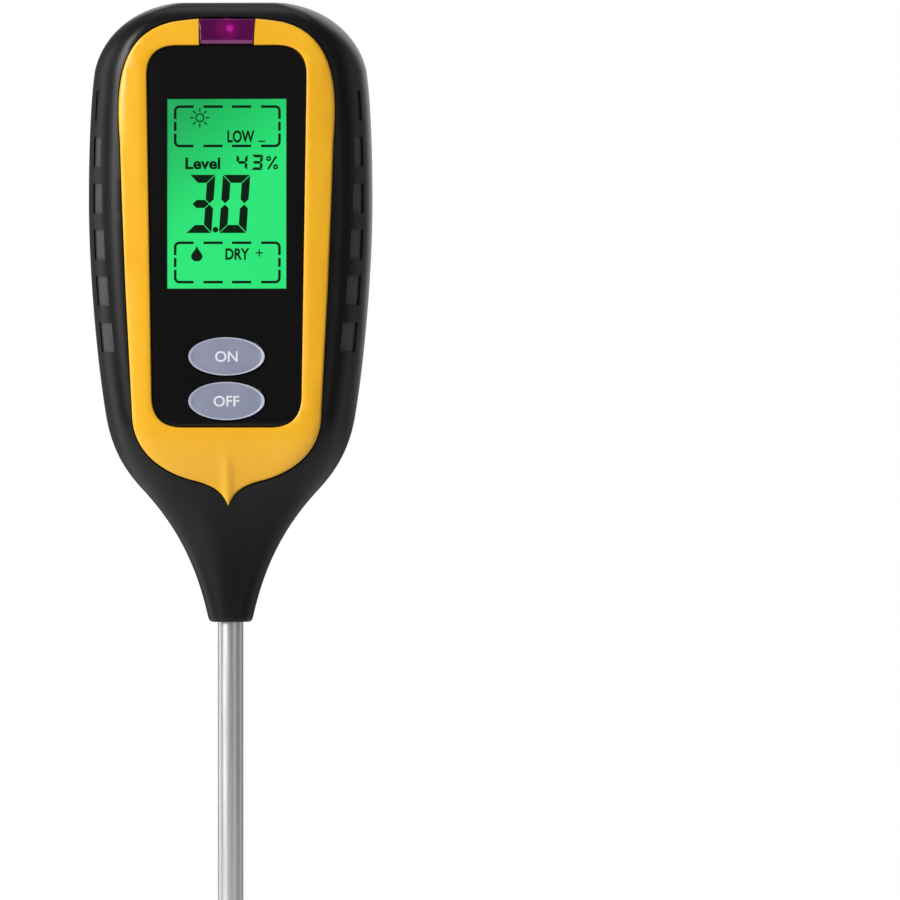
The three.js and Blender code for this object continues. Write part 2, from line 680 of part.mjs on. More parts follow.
const boardOutline = roundedPanel(boardHalf, BOARD_BOTTOM, boardTop, 4);
const boardHoles = boardScrewPlaces.map(({ x, z }) => {
  return rodY(x, z, BOARD_SCREW_SHANK + GAP, boardY - 1, boardBackY + 1);
});
add('main_board', boardGreen, cut(plate(boardOutline, boardY, boardBackY, 3), ...boardHoles));
add('controller_chip', chipBlack, box(-6, 6, boardBackY + GAP, boardBackY + GAP + 1.6,
  lcdZ - 14, lcdZ - 2));
add('light_sensor', sensorGlass, join(
  rodY(0, sensorZ, SENSOR_RADIUS, innerY + 0.7, boardY - GAP, 16),
  solid(new THREE.SphereGeometry(SENSOR_RADIUS - 0.05, 16, 8)).scale([1, 0.45, 1])
    .translate([0, innerY + 0.8, sensorZ]),
));

function screw(x, z, headY, headTall, headRadius, shankRadius, length) {
  const head = rodY(x, z, headRadius, headY, headY + headTall, 12);
  const shank = rodY(x, z, shankRadius, headY - length, headY + 0.1, 8);
  return join(head, shank);
}

for (const { name, x, z } of boardScrewPlaces) {
  const length = BOARD_THICK + 3.4;
  add(name, screwSteel, screw(x, z, boardBackY + GAP, 1.1, BOARD_SCREW_HEAD, BOARD_SCREW_SHANK,
    length));
}

// ---------------------------------------------------------------- buttons

for (const [index, label] of ['on', 'off'].entries()) {
  const z = buttonZ[index];
  const body = plate(ellipse(z, BUTTON_WIDTH / 2, BUTTON_HEIGHT / 2), panelY - BUTTON_PROUD,
    earBackY);
  const reach = BUTTON_WIDTH / 2 + BUTTON_EAR;
  const ears = plate(ellipse(z, reach, BUTTON_HEIGHT / 2 - 0.1), earY, earBackY);
  add(`button_${label}`, greyButton, join(body, ears));
  const plungerY = earBackY + GAP;
  const plungerEnd = boardY - GAP - 0.5 - GAP - BUTTON_TRAVEL;
  add(`plunger_${label}`, blackPlastic, rodY(0, z, PLUNGER_RADIUS, plungerY, plungerEnd, 12));
  const side = SWITCH_SIDE / 2;
  const switchBody = box(-side, side, switchY, boardY - GAP, z - side, z + side);
  const bore = rodY(0, z, PLUNGER_RADIUS + RUN, switchY - 1, boardY - GAP - 0.5, 12);
  add(`tact_switch_${label}`, screwSteel, cut(switchBody, bore));
}

// ---------------------------------------------------------------- mode slider

const knobY = RECESS_FLOOR_Y + GAP;
const floorBackY = RECESS_FLOOR_Y - FLOOR_THICK;
const stemEndY = floorBackY - 0.6;
const knobPlate = box(KNOB_REST_X - KNOB_WIDTH / 2, KNOB_REST_X + KNOB_WIDTH / 2, knobY,
  knobY + KNOB_THICK, knobZ - KNOB_HEIGHT / 2, knobZ + KNOB_HEIGHT / 2);
const knobRib = box(KNOB_REST_X - KNOB_RIB / 2, KNOB_REST_X + KNOB_RIB / 2, knobY,
  knobY + KNOB_THICK + KNOB_PROUD, knobZ - KNOB_HEIGHT / 2, knobZ + KNOB_HEIGHT / 2);
const knobStem = box(KNOB_REST_X - STEM_WIDTH / 2, KNOB_REST_X + STEM_WIDTH / 2, stemEndY,
  knobY + 0.5, knobZ - STEM_TALL / 2, knobZ + STEM_TALL / 2);
add('slider_knob', yellowPlastic, join(knobPlate, knobRib, knobStem));

const ACTUATOR_HALF = 1.1;
const switchBackY = SWITCH_BOARD_Y + GAP;
const switchTopY = switchBackY + 5;
add('slide_actuator', whitePlastic, box(KNOB_REST_X - ACTUATOR_HALF, KNOB_REST_X + ACTUATOR_HALF,
  switchTopY - 2, stemEndY - GAP, knobZ - ACTUATOR_HALF, knobZ + ACTUATOR_HALF));
const travelRoom = box(KNOB_REST_X - KNOB_TRAVEL - ACTUATOR_HALF - RUN,
  KNOB_REST_X + ACTUATOR_HALF + RUN, switchTopY - 2 - RUN, FAR, knobZ - ACTUATOR_HALF - RUN,
  knobZ + ACTUATOR_HALF + RUN);
add('slide_switch', screwSteel, cut(box(-6.3, 6.3, switchBackY, switchTopY, knobZ - 3.2,
  knobZ + 3.2), travelRoom));
add('switch_board', boardGreen, box(-10, 10, SWITCH_BOARD_Y - BOARD_THICK, SWITCH_BOARD_Y,
  recessLow - 1, recessHigh - 2));
add('switch_lead', whitePlastic, box(-3, 3, boardBackY + GAP, SWITCH_BOARD_Y - BOARD_THICK - GAP,
  recessLow, recessLow + 1));

// ---------------------------------------------------------------- battery and its door

const doorOutline = roundedPanel(DOOR_WIDTH / 2, doorLow, doorTop, 1, 0, DOOR_BOW);
const doorPlate = plate(doorOutline, doorInnerY, BACK_DEPTH);
const hooks = [-HOOK_X, HOOK_X].map((x) => {
  const wide = HOOK_WIDTH / 2;
  const hook = box(x - wide, x + wide, doorInnerY - 2.4, doorInnerY - GAP - 0.9, doorTop - 3,
    doorTop + 1.6);
  const root = box(x - wide, x + wide, doorInnerY - 2.4, doorInnerY + 0.1, doorTop - 3,
    doorTop - 1.6);
  return join(hook, root);
});
add('battery_door', blackPlastic, join(doorPlate, ...hooks));

// The tongue flexes at its upper end, just below the door.
const latchTop = doorLow - RUN;
const latchLow = latchTop - LATCH_LENGTH + RUN;
const latchBackY = BACK_DEPTH - 0.6;
const tonguePlate = plate(tongue(LATCH_WIDTH / 2, latchLow, latchTop), latchBackY - LATCH_THICK,
  latchBackY);
const thumb = box(-THUMB_WIDTH / 2, THUMB_WIDTH / 2, latchBackY - 0.5, BACK_DEPTH - 0.2,
  latchLow + 3.4, latchLow + 7);
add('door_latch', blackPlastic, join(tonguePlate, thumb));

const cell = box(-BATTERY_WIDTH / 2, BATTERY_WIDTH / 2, batteryBackY - BATTERY_DEEP, batteryBackY,
  batteryLow, batteryTop);
const terminals = [-TERMINAL_X, TERMINAL_X].map((x) => {
  return rodZ(x, batteryMidY, TERMINAL_RADIUS, batteryTop - 0.1, batteryTop + TERMINAL_TALL, 12);
});
add('battery_9v', batterySleeve, join(cell, ...terminals));

const sockets = [-TERMINAL_X, TERMINAL_X].map((x) => {
  return rodZ(x, batteryMidY, TERMINAL_RADIUS + GAP, snapLow - 1,
    batteryTop + TERMINAL_TALL + GAP, 12);
});
const snapBody = box(-12.7, 12.7, batteryMidY - 6, batteryMidY + 6, snapLow, snapLow + SNAP_TALL);
add('battery_snap', blackWire, cut(snapBody, ...sockets));

// Each lead rises from the snap, turns through the hole in the bay floor and ends at the board.
const snapTop = snapLow + SNAP_TALL;
for (const [name, material, shift] of [['battery_lead_red', redWire, -0.75],
  ['battery_lead_black', blackWire, 0.75]]) {
  const x = leadHoleX + shift;
  add(name, material, wire([
    [x, batteryMidY - 3, snapTop + LEAD_RADIUS + 0.3],
    [x, batteryMidY - 6, leadHoleZ],
    [x, bayFloorY - 1, leadHoleZ],
    [x, boardBackY + 1.6, leadHoleZ],
    [x, wireEndY, leadHoleZ - 4],
  ], LEAD_RADIUS, 14));
}

// ---------------------------------------------------------------- air sensor behind the vent

const airZ = HEAD_HEIGHT - VENT_FROM_TOP - 1.5 * VENT_PITCH;
add('air_sensor_board', boardGreen, box(-HEAD_WIDTH / 2 + 5.6, -bayHalf - BAY_WALL - 1, 10, 11,
  airZ - 5.5, airZ + 4.5));
add('air_sensor', whitePlastic, box(-24.5, -20.5, 11 + GAP, 12.6, airZ - 2, airZ + 2));
add('air_sensor_lead', whitePlastic, wire([
  [-bayHalf - BAY_WALL - 3, 10 - GAP - LEAD_RADIUS, airZ - 3],
  [-bayHalf - BAY_WALL - 3, 3, airZ - 5],
  [-bayHalf - BAY_WALL - 2.6, -2, airZ - 7],
  [-boardHalf + 3, wireEndY, airZ - 8],
], LEAD_RADIUS, 12));

// ---------------------------------------------------------------- fasteners

for (const { name, x, z } of screwPlaces) {
  add(name, screwSteel, screw(x, z, SCREW_SEAT_Y + GAP, SCREW_HEAD_TALL, SCREW_HEAD, SCREW_SHANK,
    SCREW_LENGTH));
}
for (const [index, side] of ['left', 'right'].entries()) {
  add(`neck_pin_${side}`, screwSteel, rodY(pins[index], PIN_Z, PIN_RADIUS, -5 + GAP,
    backAt(PIN_Z) * 0.62, 10));
}

// ---------------------------------------------------------------- probe

add('probe_tube', brightMetal, turned([
  [PROBE_BORE, tubeLow], [PROBE_RADIUS - 0.4, tubeLow], [PROBE_RADIUS, tubeLow + 0.5],
  [PROBE_RADIUS, PROBE_IN_HEAD], [PROBE_BORE, PROBE_IN_HEAD], [PROBE_BORE, tubeLow],
]));
add('probe_collar', brass, turned([
  [PROBE_RADIUS + GAP, NECK_SOLID + GAP - 0.5], [COLLAR_RADIUS, NECK_SOLID + GAP - 0.5],
  [COLLAR_RADIUS, NECK_SOLID + COLLAR_TALL], [PROBE_RADIUS + GAP, NECK_SOLID + COLLAR_TALL],
  [PROBE_RADIUS + GAP, NECK_SOLID + GAP - 0.5],
]));

const STUD = 0.8;
const SLEEVE_TALL = 12;
add('probe_insulator', whitePlastic, turned([
  [STUD + GAP, tipTop + GAP], [PROBE_RADIUS - 0.25, tipTop + GAP],
  [PROBE_RADIUS - 0.25, tubeLow - GAP], [PROBE_BORE - GAP, tubeLow - GAP],
  [PROBE_BORE - GAP, tubeLow + SLEEVE_TALL], [STUD + GAP, tubeLow + SLEEVE_TALL],
  [STUD + GAP, tipTop + GAP],
]));

const bottom = -PROBE_LENGTH;
add('probe_tip', brightMetal, turned([
  [0, bottom], [PROBE_RADIUS * 0.5, bottom + 0.35], [PROBE_RADIUS * 0.85, bottom + 1.3],
  [PROBE_RADIUS, bottom + 2.6], [PROBE_RADIUS, tipTop - 0.2], [PROBE_RADIUS - 0.2, tipTop],
  [STUD, tipTop], [STUD, tubeLow + SLEEVE_TALL], [0, tubeLow + SLEEVE_TALL],
]));

// Inside the tube: the tip's lead on one side and the thermistor's on the other.
const leadX = PROBE_BORE / 2 - 0.1;
add('tip_lead', redWire, wire([
  [-leadX, 0, tubeLow + SLEEVE_TALL + GAP + 0.3], [-leadX, 0, -90], [-leadX, 0, PROBE_IN_HEAD],
  [-leadX - 2, -1.5, PROBE_IN_HEAD + 6], [-leadX - 3, wireEndY, BOARD_BOTTOM + 4],
], LEAD_RADIUS, 44, 0.1));
add('thermistor', chipBlack, wire([
  [leadX, 0, tubeLow + SLEEVE_TALL + 4], [leadX, 0, -90], [leadX, 0, PROBE_IN_HEAD],
  [leadX + 2, -1.5, PROBE_IN_HEAD + 6], [leadX + 3, wireEndY, BOARD_BOTTOM + 4],
], LEAD_RADIUS, 44, 0.1).add(solid(new THREE.SphereGeometry(0.85, 10, 8))
  .translate([leadX, 0, tubeLow + SLEEVE_TALL + 3.4])));
add('tube_lead', blackWire, wire([
  [PROBE_RADIUS + GAP + LEAD_RADIUS, 0, PROBE_IN_HEAD - 3],
  [PROBE_RADIUS + GAP + LEAD_RADIUS, 0, PROBE_IN_HEAD + 1],
  [8, -1.5, PROBE_IN_HEAD + 7], [9, wireEndY, BOARD_BOTTOM + 4],
], LEAD_RADIUS, 10));

const meter = new THREE.Group();
meter.add(...pieces);

export default meter;
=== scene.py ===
import math

import bpy
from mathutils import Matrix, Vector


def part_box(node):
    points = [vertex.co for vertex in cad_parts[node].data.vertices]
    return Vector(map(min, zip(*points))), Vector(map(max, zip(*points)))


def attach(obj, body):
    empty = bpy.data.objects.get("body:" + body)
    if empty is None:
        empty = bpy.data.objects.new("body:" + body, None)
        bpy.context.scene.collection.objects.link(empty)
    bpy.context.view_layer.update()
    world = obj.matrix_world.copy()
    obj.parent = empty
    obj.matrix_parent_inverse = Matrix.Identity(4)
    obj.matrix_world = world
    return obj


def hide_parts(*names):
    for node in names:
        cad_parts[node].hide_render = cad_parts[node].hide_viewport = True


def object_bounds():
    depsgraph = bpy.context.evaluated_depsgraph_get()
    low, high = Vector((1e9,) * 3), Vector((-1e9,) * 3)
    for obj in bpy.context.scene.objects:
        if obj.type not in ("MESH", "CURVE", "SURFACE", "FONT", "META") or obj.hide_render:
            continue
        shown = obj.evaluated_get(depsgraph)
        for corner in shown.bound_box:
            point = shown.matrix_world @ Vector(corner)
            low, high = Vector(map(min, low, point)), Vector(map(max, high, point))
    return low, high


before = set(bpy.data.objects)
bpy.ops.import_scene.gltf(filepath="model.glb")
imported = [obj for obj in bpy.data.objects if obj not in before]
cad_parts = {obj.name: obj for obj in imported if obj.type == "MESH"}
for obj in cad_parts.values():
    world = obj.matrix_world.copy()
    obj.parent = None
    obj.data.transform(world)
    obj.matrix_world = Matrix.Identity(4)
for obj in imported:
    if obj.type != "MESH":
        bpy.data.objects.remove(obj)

cad_bounds = [[float(number) for number in corner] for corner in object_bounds()]
MM = 0.001

# ---------------------------------------------------------------- studio
# A white room with soft boxes: one key at the left, a weaker fill at the right, two strips and a
# panel behind that draw the edges of the black head. The camera is a long lens in front of the
# meter, a few degrees to its right, aimed past it.

AIM_X, AIM_Z = 48.3 * MM, 37.55 * MM
CAMERA_TURN = 3.6
FACE_Y = -7 * MM
FRAME_WIDTH = 195.8 * MM
LENS, SENSOR = 480, 36

bpy.ops.object.select_all(action="DESELECT")
distance = FRAME_WIDTH * LENS / SENSOR
camera_x = distance * math.tan(math.radians(CAMERA_TURN))
yaw = math.atan2(camera_x - AIM_X, distance)
bpy.ops.object.camera_add(location=(camera_x, FACE_Y - distance, AIM_Z),
                          rotation=(math.radians(90), 0, yaw))
camera = bpy.context.object
camera.data.lens = LENS
camera.data.sensor_width = SENSOR
camera.data.clip_start = 0.01
bpy.context.scene.camera = camera
bpy.context.scene.view_settings.view_transform = "Standard"


def soft_box(name, place, turn, width, height, power):
    bpy.ops.object.light_add(type="AREA", location=place,
                             rotation=[math.radians(angle) for angle in turn])
    light = bpy.context.object
    light.name = name
    light.data.shape = "RECTANGLE"
    light.data.size = width
    light.data.size_y = height
    light.data.energy = power
    light.visible_camera = False


soft_box("key_light", (-0.8, -0.7, 0.45), (66, 0, -49), 0.45, 0.6, 13)
soft_box("fill_light", (0.7, -0.8, 0.1), (88, 0, 41), 0.3, 0.7, 0.45)
soft_box("left_strip", (-0.55, 0.2, 0.05), (90, 0, -110), 0.3, 0.7, 0.7)
soft_box("right_strip", (0.55, 0.2, 0.05), (90, 0, 110), 0.3, 0.7, 0.25)
soft_box("top_light", (0, 0.1, 0.75), (0, 0, 0), 0.5, 0.4, 0.8)
soft_box("back_light", (0.15, 1, 0.45), (68, 0, 172), 0.9, 0.9, 3)

world = bpy.data.worlds.new("white_room")
bpy.context.scene.world = world
world.use_nodes = True
sky = world.node_tree
path = sky.nodes.new("ShaderNodeLightPath")
shown = sky.nodes.new("ShaderNodeMix")
shown.data_type = "FLOAT"
shown.inputs[2].default_value = 0.16
shown.inputs[3].default_value = 1.0
sky.links.new(path.outputs["Is Camera Ray"], shown.inputs[0])
sky.links.new(shown.outputs[0], sky.nodes["Background"].inputs["Strength"])
sky.nodes["Background"].inputs["Color"].default_value = (1, 1, 1, 1)

# ---------------------------------------------------------------- floor
# A sheet of white-painted board, laid flat a hair under the probe's tip. Like every later finish,
# its paint starts from one base colour and roughness and adds its own grain.


class Socket:
    """One output in a finish's node tree, on which maths is written as plain expressions."""

    def __init__(self, finish, output):
        self.finish = finish
        self.output = output

    def maths(self, operation, first, second):
        return self.finish.node("ShaderNodeMath", {"operation": operation}, {0: first, 1: second})

    def __add__(self, other):
        return self.maths("ADD", self, other)

    def __radd__(self, other):
        return self.maths("ADD", other, self)

    def __sub__(self, other):
        return self.maths("SUBTRACT", self, other)

    def __rsub__(self, other):
        return self.maths("SUBTRACT", other, self)

    def __mul__(self, other):
        return self.maths("MULTIPLY", self, other)

    def __rmul__(self, other):
        return self.maths("MULTIPLY", other, self)


class Finish:
    """A material with one Principled shader, and the nodes that feed it."""

    def __init__(self, name, colour, roughness, **constants):
        self.material = bpy.data.materials.new(name)
        self.material.use_nodes = True
        self.tree = self.material.node_tree
        self.shader = self.tree.nodes["Principled BSDF"]
        self.set("Base Color", (*colour, 1))
        self.set("Roughness", roughness)
        for words, value in constants.items():
            self.set(words.replace("_", " "), value)
        self.place = self.node("ShaderNodeTexCoord", output="Object")

    def node(self, kind, settings=None, inputs=None, output=0):
        node = self.tree.nodes.new(kind)
        for key, value in (settings or {}).items():
            if key == "stops":
                self.set_stops(node.color_ramp, value)
            else:
                setattr(node, key, value)
        for key, value in (inputs or {}).items():
            self.feed(node.inputs[key], value)
        return Socket(self, node.outputs[output])

    def set_stops(self, ramp, stops):
        while len(ramp.elements) < len(stops):
            ramp.elements.new(0.5)
        for element, (position, colour) in zip(ramp.elements, stops):
            element.position = position
            element.color = (*colour, 1)

    def feed(self, socket, value):
        if isinstance(value, Socket):
            self.tree.links.new(value.output, socket)
        else:
            socket.default_value = value

    def set(self, name, value):
        self.feed(self.shader.inputs[name], value)

    def noise(self, scale, detail=2.0, vector=None):
        inputs = {"Vector": vector or self.place, "Scale": scale, "Detail": detail}
        return self.node("ShaderNodeTexNoise", None, inputs)

    def bump(self, height, depth):
        inputs = {"Height": height, "Distance": depth, "Strength": 1.0}
        self.set("Normal", self.node("ShaderNodeBump", None, inputs))

    def vary(self, low, high, scale, detail=2.0):
        """Base Color between two colours, in soft patches."""
        stops = {"stops": [(0.35, low), (0.65, high)]}
        patches = self.noise(scale, detail)
        self.set("Base Color", self.node("ShaderNodeValToRGB", stops, {0: patches}))


def paint(piece, finish):
    piece.data.materials.clear()
    piece.data.materials.append(finish.material)


FLOOR_WIDTH, FLOOR_GAP = 1.2, 0.2 * MM
bpy.ops.object.select_all(action="DESELECT")
bpy.ops.mesh.primitive_plane_add(size=FLOOR_WIDTH, location=(0, 0, cad_bounds[0][2] - FLOOR_GAP))
floor = bpy.context.object
floor.name = "floor"
floor_finish = Finish("floor_white", (0.86, 0.86, 0.86), 0.7)
floor_finish.vary((0.85, 0.85, 0.85), (0.87, 0.87, 0.87), 3)
paint(floor, floor_finish)

# ---------------------------------------------------------------- front housing
# The front half shell, injection-moulded in satin black ABS. It has a seat for the trim ring, a
# pocket for the panel, holes for the display, the buttons and the light sensor, and six grip
# notches down each side. It is screwed to the rear half at a plane seam.

# The skin of both halves runs from a round neck, through a flare and a shoulder, to a flat-faced
# body with soft edges. It is double-curved all over, so a grid is wrapped into it.

front_low, front_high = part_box("front_housing")
HEAD_HEIGHT = front_high[2] - front_low[2]
HALF_WIDTH = 31 * MM
FRONT_DEPTH = -front_low[1]
BACK_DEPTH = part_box("rear_housing")[1][1]
FLARE_HEIGHT = 45 * MM
NECK_RADIUS = 4.7 * MM
WALL = 2.4 * MM
PART_LINE = 0.3 * MM
FLAT_NECK, FLAT_FRONT, FLAT_BACK = 0.1, 0.72, 0.66

# [height share, size share]: 0 to 1 up the flare and 1 to 2 up the body, cubic curve by curve.
SIDE_CURVE = [
    (0, 0), (0.267, 0.095), (0.462, 0.266), (0.639, 0.548),
    (0.741, 0.711), (0.843, 0.81), (1.001, 0.856),
    (1.11, 0.92), (1.334, 1), (1.522, 1),
    (1.644, 1), (1.766, 0.985), (1.835, 0.951),
    (1.911, 0.901), (1.982, 0.677), (2, 0.316),
]
FRONT_CURVE = [
    (0, 0), (0.24, 0.09), (0.45, 0.2), (0.615, 0.45),
    (0.72, 0.68), (0.81, 1), (0.96, 1),
    (1.25, 1), (1.7, 1), (1.895, 1),
    (1.948, 1), (1.985, 0.85), (2, 0.4),
]
BACK_CURVE = [
    (0, 0), (0.24, 0.08), (0.45, 0.22), (0.63, 0.48),
    (0.78, 0.74), (0.96, 1), (1.078, 1),
    (1.25, 1), (1.625, 1), (1.793, 1),
    (1.895, 1), (1.978, 0.85), (2, 0.3),
]


def cubic(a, b, c, d, t):
    s = 1 - t
    return s * s * s * a + 3 * s * s * t * b + 3 * s * t * t * c + t * t * t * d


def share_at(curve, height):
    start = 0
    while start + 6 < len(curve) and curve[start + 3][0] < height:
        start += 3
    heights, sizes = zip(*curve[start:start + 4])
    low, high = 0.0, 1.0
    for _ in range(40):
        middle = (low + high) / 2
        if cubic(*heights, middle) < height:
            low = middle
        else:
            high = middle
    return cubic(*sizes, low)


def height_share(z):
    if z < FLARE_HEIGHT:
        return z / FLARE_HEIGHT
    return 1 + (z - FLARE_HEIGHT) / (HEAD_HEIGHT - FLARE_HEIGHT)


def size_at(curve, full, z):
    return NECK_RADIUS + (full - NECK_RADIUS) * share_at(curve, height_share(z))


def flat_at(z, full):
    t = min(max((height_share(z) - 0.3) / 0.74, 0), 1)
    return FLAT_NECK + (full - FLAT_NECK) * t * t * (3 - 2 * t)


def front_skin(x, z):
    """Depth of the front skin in front of the parting plane, over a point of the face."""
    half = size_at(SIDE_CURVE, HALF_WIDTH, z)
    flat = half * flat_at(z, FLAT_FRONT)
    turn = min(max((abs(x) - flat) / (half - flat), 0), 1)
    return size_at(FRONT_CURVE, FRONT_DEPTH, z) * math.sqrt(1 - turn * turn)


ARC, FLAT = 14, 6
AROUND = 4 * ARC + 2 * FLAT


def section_point(step, z, inset):
    half = size_at(SIDE_CURVE, HALF_WIDTH, z) - inset
    back = step <= AROUND // 2
    local = step if back else AROUND - step
    curve, full, share = (BACK_CURVE, BACK_DEPTH, FLAT_BACK) if back else (
        FRONT_CURVE, FRONT_DEPTH, FLAT_FRONT)
    depth = size_at(curve, full, z) - inset
    flat = half * flat_at(z, share)
    if local <= ARC:
        turn = math.radians(90) * local / ARC
        x = flat + (half - flat) * math.cos(turn)
    elif local < ARC + FLAT:
        turn = math.radians(90)
        x = flat * (1 - 2 * (local - ARC) / FLAT)
    else:
        turn = math.radians(90) * (2 * ARC + FLAT - local) / ARC
        x = -flat - (half - flat) * math.cos(turn)
    y = depth * math.sin(turn)
    return x, y if back else -y


def skin_rows(low, high):
    """Heights of the rows, closer together where the outline turns, and how far each is drawn in."""
    shares = [step / 40 for step in range(41)]
    shares += [1 + 0.835 * step / 28 for step in range(1, 29)]
    shares += [cubic(1.835, 1.911, 1.982, 2, step / 26) for step in range(1, 27)]
    heights = []
    for share in shares:
        z = share * FLARE_HEIGHT
        if share > 1:
            z = FLARE_HEIGHT + (share - 1) * (HEAD_HEIGHT - FLARE_HEIGHT)
        if low + MM < z < high - 0.01 * MM:
            heights.append(z)
    start = [(low, 0), (low, 0.6), (low, 0.86), (low + 0.1 * MM, 0.92), (low + 0.3 * MM, 0.96),
             (low + 0.65 * MM, 0.99)]
    rows = start + [(z, 1) for z in heights]
    return rows + [(high, 1), (high, 0.75), (high, 0.4), (high, 0)]


def select_only(*pieces):
    bpy.ops.object.select_all(action="DESELECT")
    for piece in pieces:
        piece.select_set(True)
    bpy.context.view_layer.objects.active = pieces[0]


def edit_all(*pieces):
    select_only(*pieces)
    bpy.ops.object.mode_set(mode="EDIT")
    bpy.ops.mesh.select_all(action="SELECT")


def wrapped_skin(name, inset=0.0, low=0.0, high=None):
    rows = skin_rows(low, high or HEAD_HEIGHT)
    bpy.ops.object.select_all(action="DESELECT")
    bpy.ops.mesh.primitive_grid_add(x_subdivisions=AROUND, y_subdivisions=len(rows) - 1, size=2)
    skin = bpy.context.object
    skin.name = name
    for vertex in skin.data.vertices:
        step = round((vertex.co.x + 1) / 2 * AROUND) % AROUND
        height, drawn_in = rows[round((vertex.co.y + 1) / 2 * (len(rows) - 1))]
        x, y = section_point(step, height, inset)
        vertex.co = (x * drawn_in, y * drawn_in, height)
    edit_all(skin)
    bpy.ops.mesh.remove_doubles(threshold=0.001 * MM)
    bpy.ops.mesh.normals_make_consistent(inside=False)
    bpy.ops.object.mode_set(mode="OBJECT")
    return skin


def copy_of(piece, name):
    twin = piece.copy()
    twin.data = piece.data.copy()
    twin.name = name
    bpy.context.collection.objects.link(twin)
    return twin


def keep_side(piece, y, front):
    """Cuts a closed piece at a plane across Y and closes the cut."""
    edit_all(piece)
    bpy.ops.mesh.bisect(plane_co=(0, y, 0), plane_no=(0, 1, 0), use_fill=True,
                        clear_outer=front, clear_inner=not front)
    bpy.ops.object.mode_set(mode="OBJECT")


def combine(piece, tool, operation="DIFFERENCE"):
    """Cuts a piece by a tool, or joins or crosses them, and takes the tool away."""
    select_only(piece)
    modifier = piece.modifiers.new(operation.lower(), "BOOLEAN")
    modifier.operation = operation
    modifier.object = tool
    modifier.solver = "EXACT"
    bpy.ops.object.modifier_apply(modifier=modifier.name)
    bpy.data.objects.remove(tool)


def joined(tools, name):
    """Several solids as one object. They may overlap: the exact solver takes them as one."""
    select_only(*tools)
    if len(tools) > 1:
        bpy.ops.object.join()
    tools[0].name = name
    return tools[0]


def block(name, low, high):
    """A rectangular block between two corners, in millimetres."""
    size = [(b - a) * MM for a, b in zip(low, high)]
    middle = [(a + b) / 2 * MM for a, b in zip(low, high)]
    bpy.ops.object.select_all(action="DESELECT")
    bpy.ops.mesh.primitive_cube_add(size=1, location=middle)
    made = bpy.context.object
    made.name = name
    made.scale = size
    bpy.ops.object.transform_apply(location=True, rotation=True, scale=True)
    return made


def rod(name, x, z, radius, low, high, sides=32):
    """A round rod along Y, in millimetres."""
    bpy.ops.object.select_all(action="DESELECT")
    bpy.ops.mesh.primitive_cylinder_add(
        vertices=sides, radius=radius * MM, depth=(high - low) * MM,
        location=(x * MM, (low + high) / 2 * MM, z * MM), rotation=(math.radians(90), 0, 0))
    made = bpy.context.object
    made.name = name
    bpy.ops.object.transform_apply(location=True, rotation=True, scale=True)
    return made


def settle(piece, body, node):
    """Shades a finished piece smooth, and says what it moves with and which part it replaces."""
    select_only(piece)
    bpy.ops.object.shade_smooth_by_angle(angle=math.radians(30))
    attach(piece, body)
    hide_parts(node)


# The trim ring, the panel and the display are laid out in the plane of the face. An outline is a
# closed loop of (x, z) in millimetres.

RING_HALF = HALF_WIDTH / MM - 7.4
RING_HIGH = HEAD_HEIGHT / MM - 3.4
RING_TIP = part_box("trim_ring")[0][2] / MM
RING_BAND = 6.3
PANEL_HALF = RING_HALF - RING_BAND
PANEL_HIGH = RING_HIGH - RING_BAND
PANEL_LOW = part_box("face_panel")[0][2] / MM
PANEL_CORNER, PANEL_TAPER = 6.5, 1.3
BOWL_HEIGHT = 18.7
CORNER_STEPS = 12


def sampled(curves, steps=14):
    """Points along joined cubic curves of four (x, z) points each, without the last point."""
    points = []
    for a, b, c, d in curves:
        for step in range(steps):
            t = step / steps
            points.append((cubic(a[0], b[0], c[0], d[0], t), cubic(a[1], b[1], c[1], d[1], t)))
    return points


def ring_loop(grow):
    side, top, tip = RING_HALF + grow, RING_HIGH + grow, RING_TIP - grow * 1.5
    bowl, low = tip + BOWL_HEIGHT, side * 0.87
    right = sampled([
        ((0, tip), (0.8, tip + 1.9), (1.6, tip + 4), (side * 0.28, tip + 5.4)),
        ((side * 0.28, tip + 5.4), (side * 0.56, tip + 6.9), (side * 0.84, tip + 10.9), (low, bowl)),
        ((low, bowl), (side * 0.9, bowl + 14), (side * 0.95, bowl + 32), (side * 0.985, top - 27)),
        ((side * 0.985, top - 27), (side * 1.04, top - 13), (side * 0.95, top - 3.6),
         (side * 0.52, top - 1)),
        ((side * 0.52, top - 1), (side * 0.36, top - 0.3), (side * 0.18, top), (0, top)),
    ])
    left = [(-x, z) for x, z in right[1:]]
    return right + [(0, top)] + left[::-1]


def rounded_loop(half, low, high, corner, taper=0.0, bow=0.0):
    """A rectangle with round corners, narrower at the bottom, and with a top that may be bowed."""
    base = half - taper
    lean = taper / (high - low)
    corners = [
        ((base - corner, low), (base, low), (base + lean * corner, low + corner)),
        ((half - lean * corner, high - corner), (half, high), (half - corner, high)),
    ]
    right = []
    for a, b, c in corners:
        for step in range(CORNER_STEPS + 1):
            t = step / CORNER_STEPS
            s = 1 - t
            right.append((s * s * a[0] + 2 * s * t * b[0] + t * t * c[0],
                          s * s * a[1] + 2 * s * t * b[1] + t * t * c[1]))
    reach = half - corner
    crown = []
    if bow:
        shares = [1 - step / 8 for step in range(1, 9)]
        crown = [(reach * share, high + bow * (1 - share ** 2)) for share in shares]
    left = [(-x, z) for x, z in reversed(right + crown[:-1])]
    return right + crown + left


def oval_loop(z, half, tall, steps=72):
    turns = [2 * math.pi * step / steps for step in range(steps)]
    return [(half * math.cos(turn), z + tall * math.sin(turn)) for turn in turns]


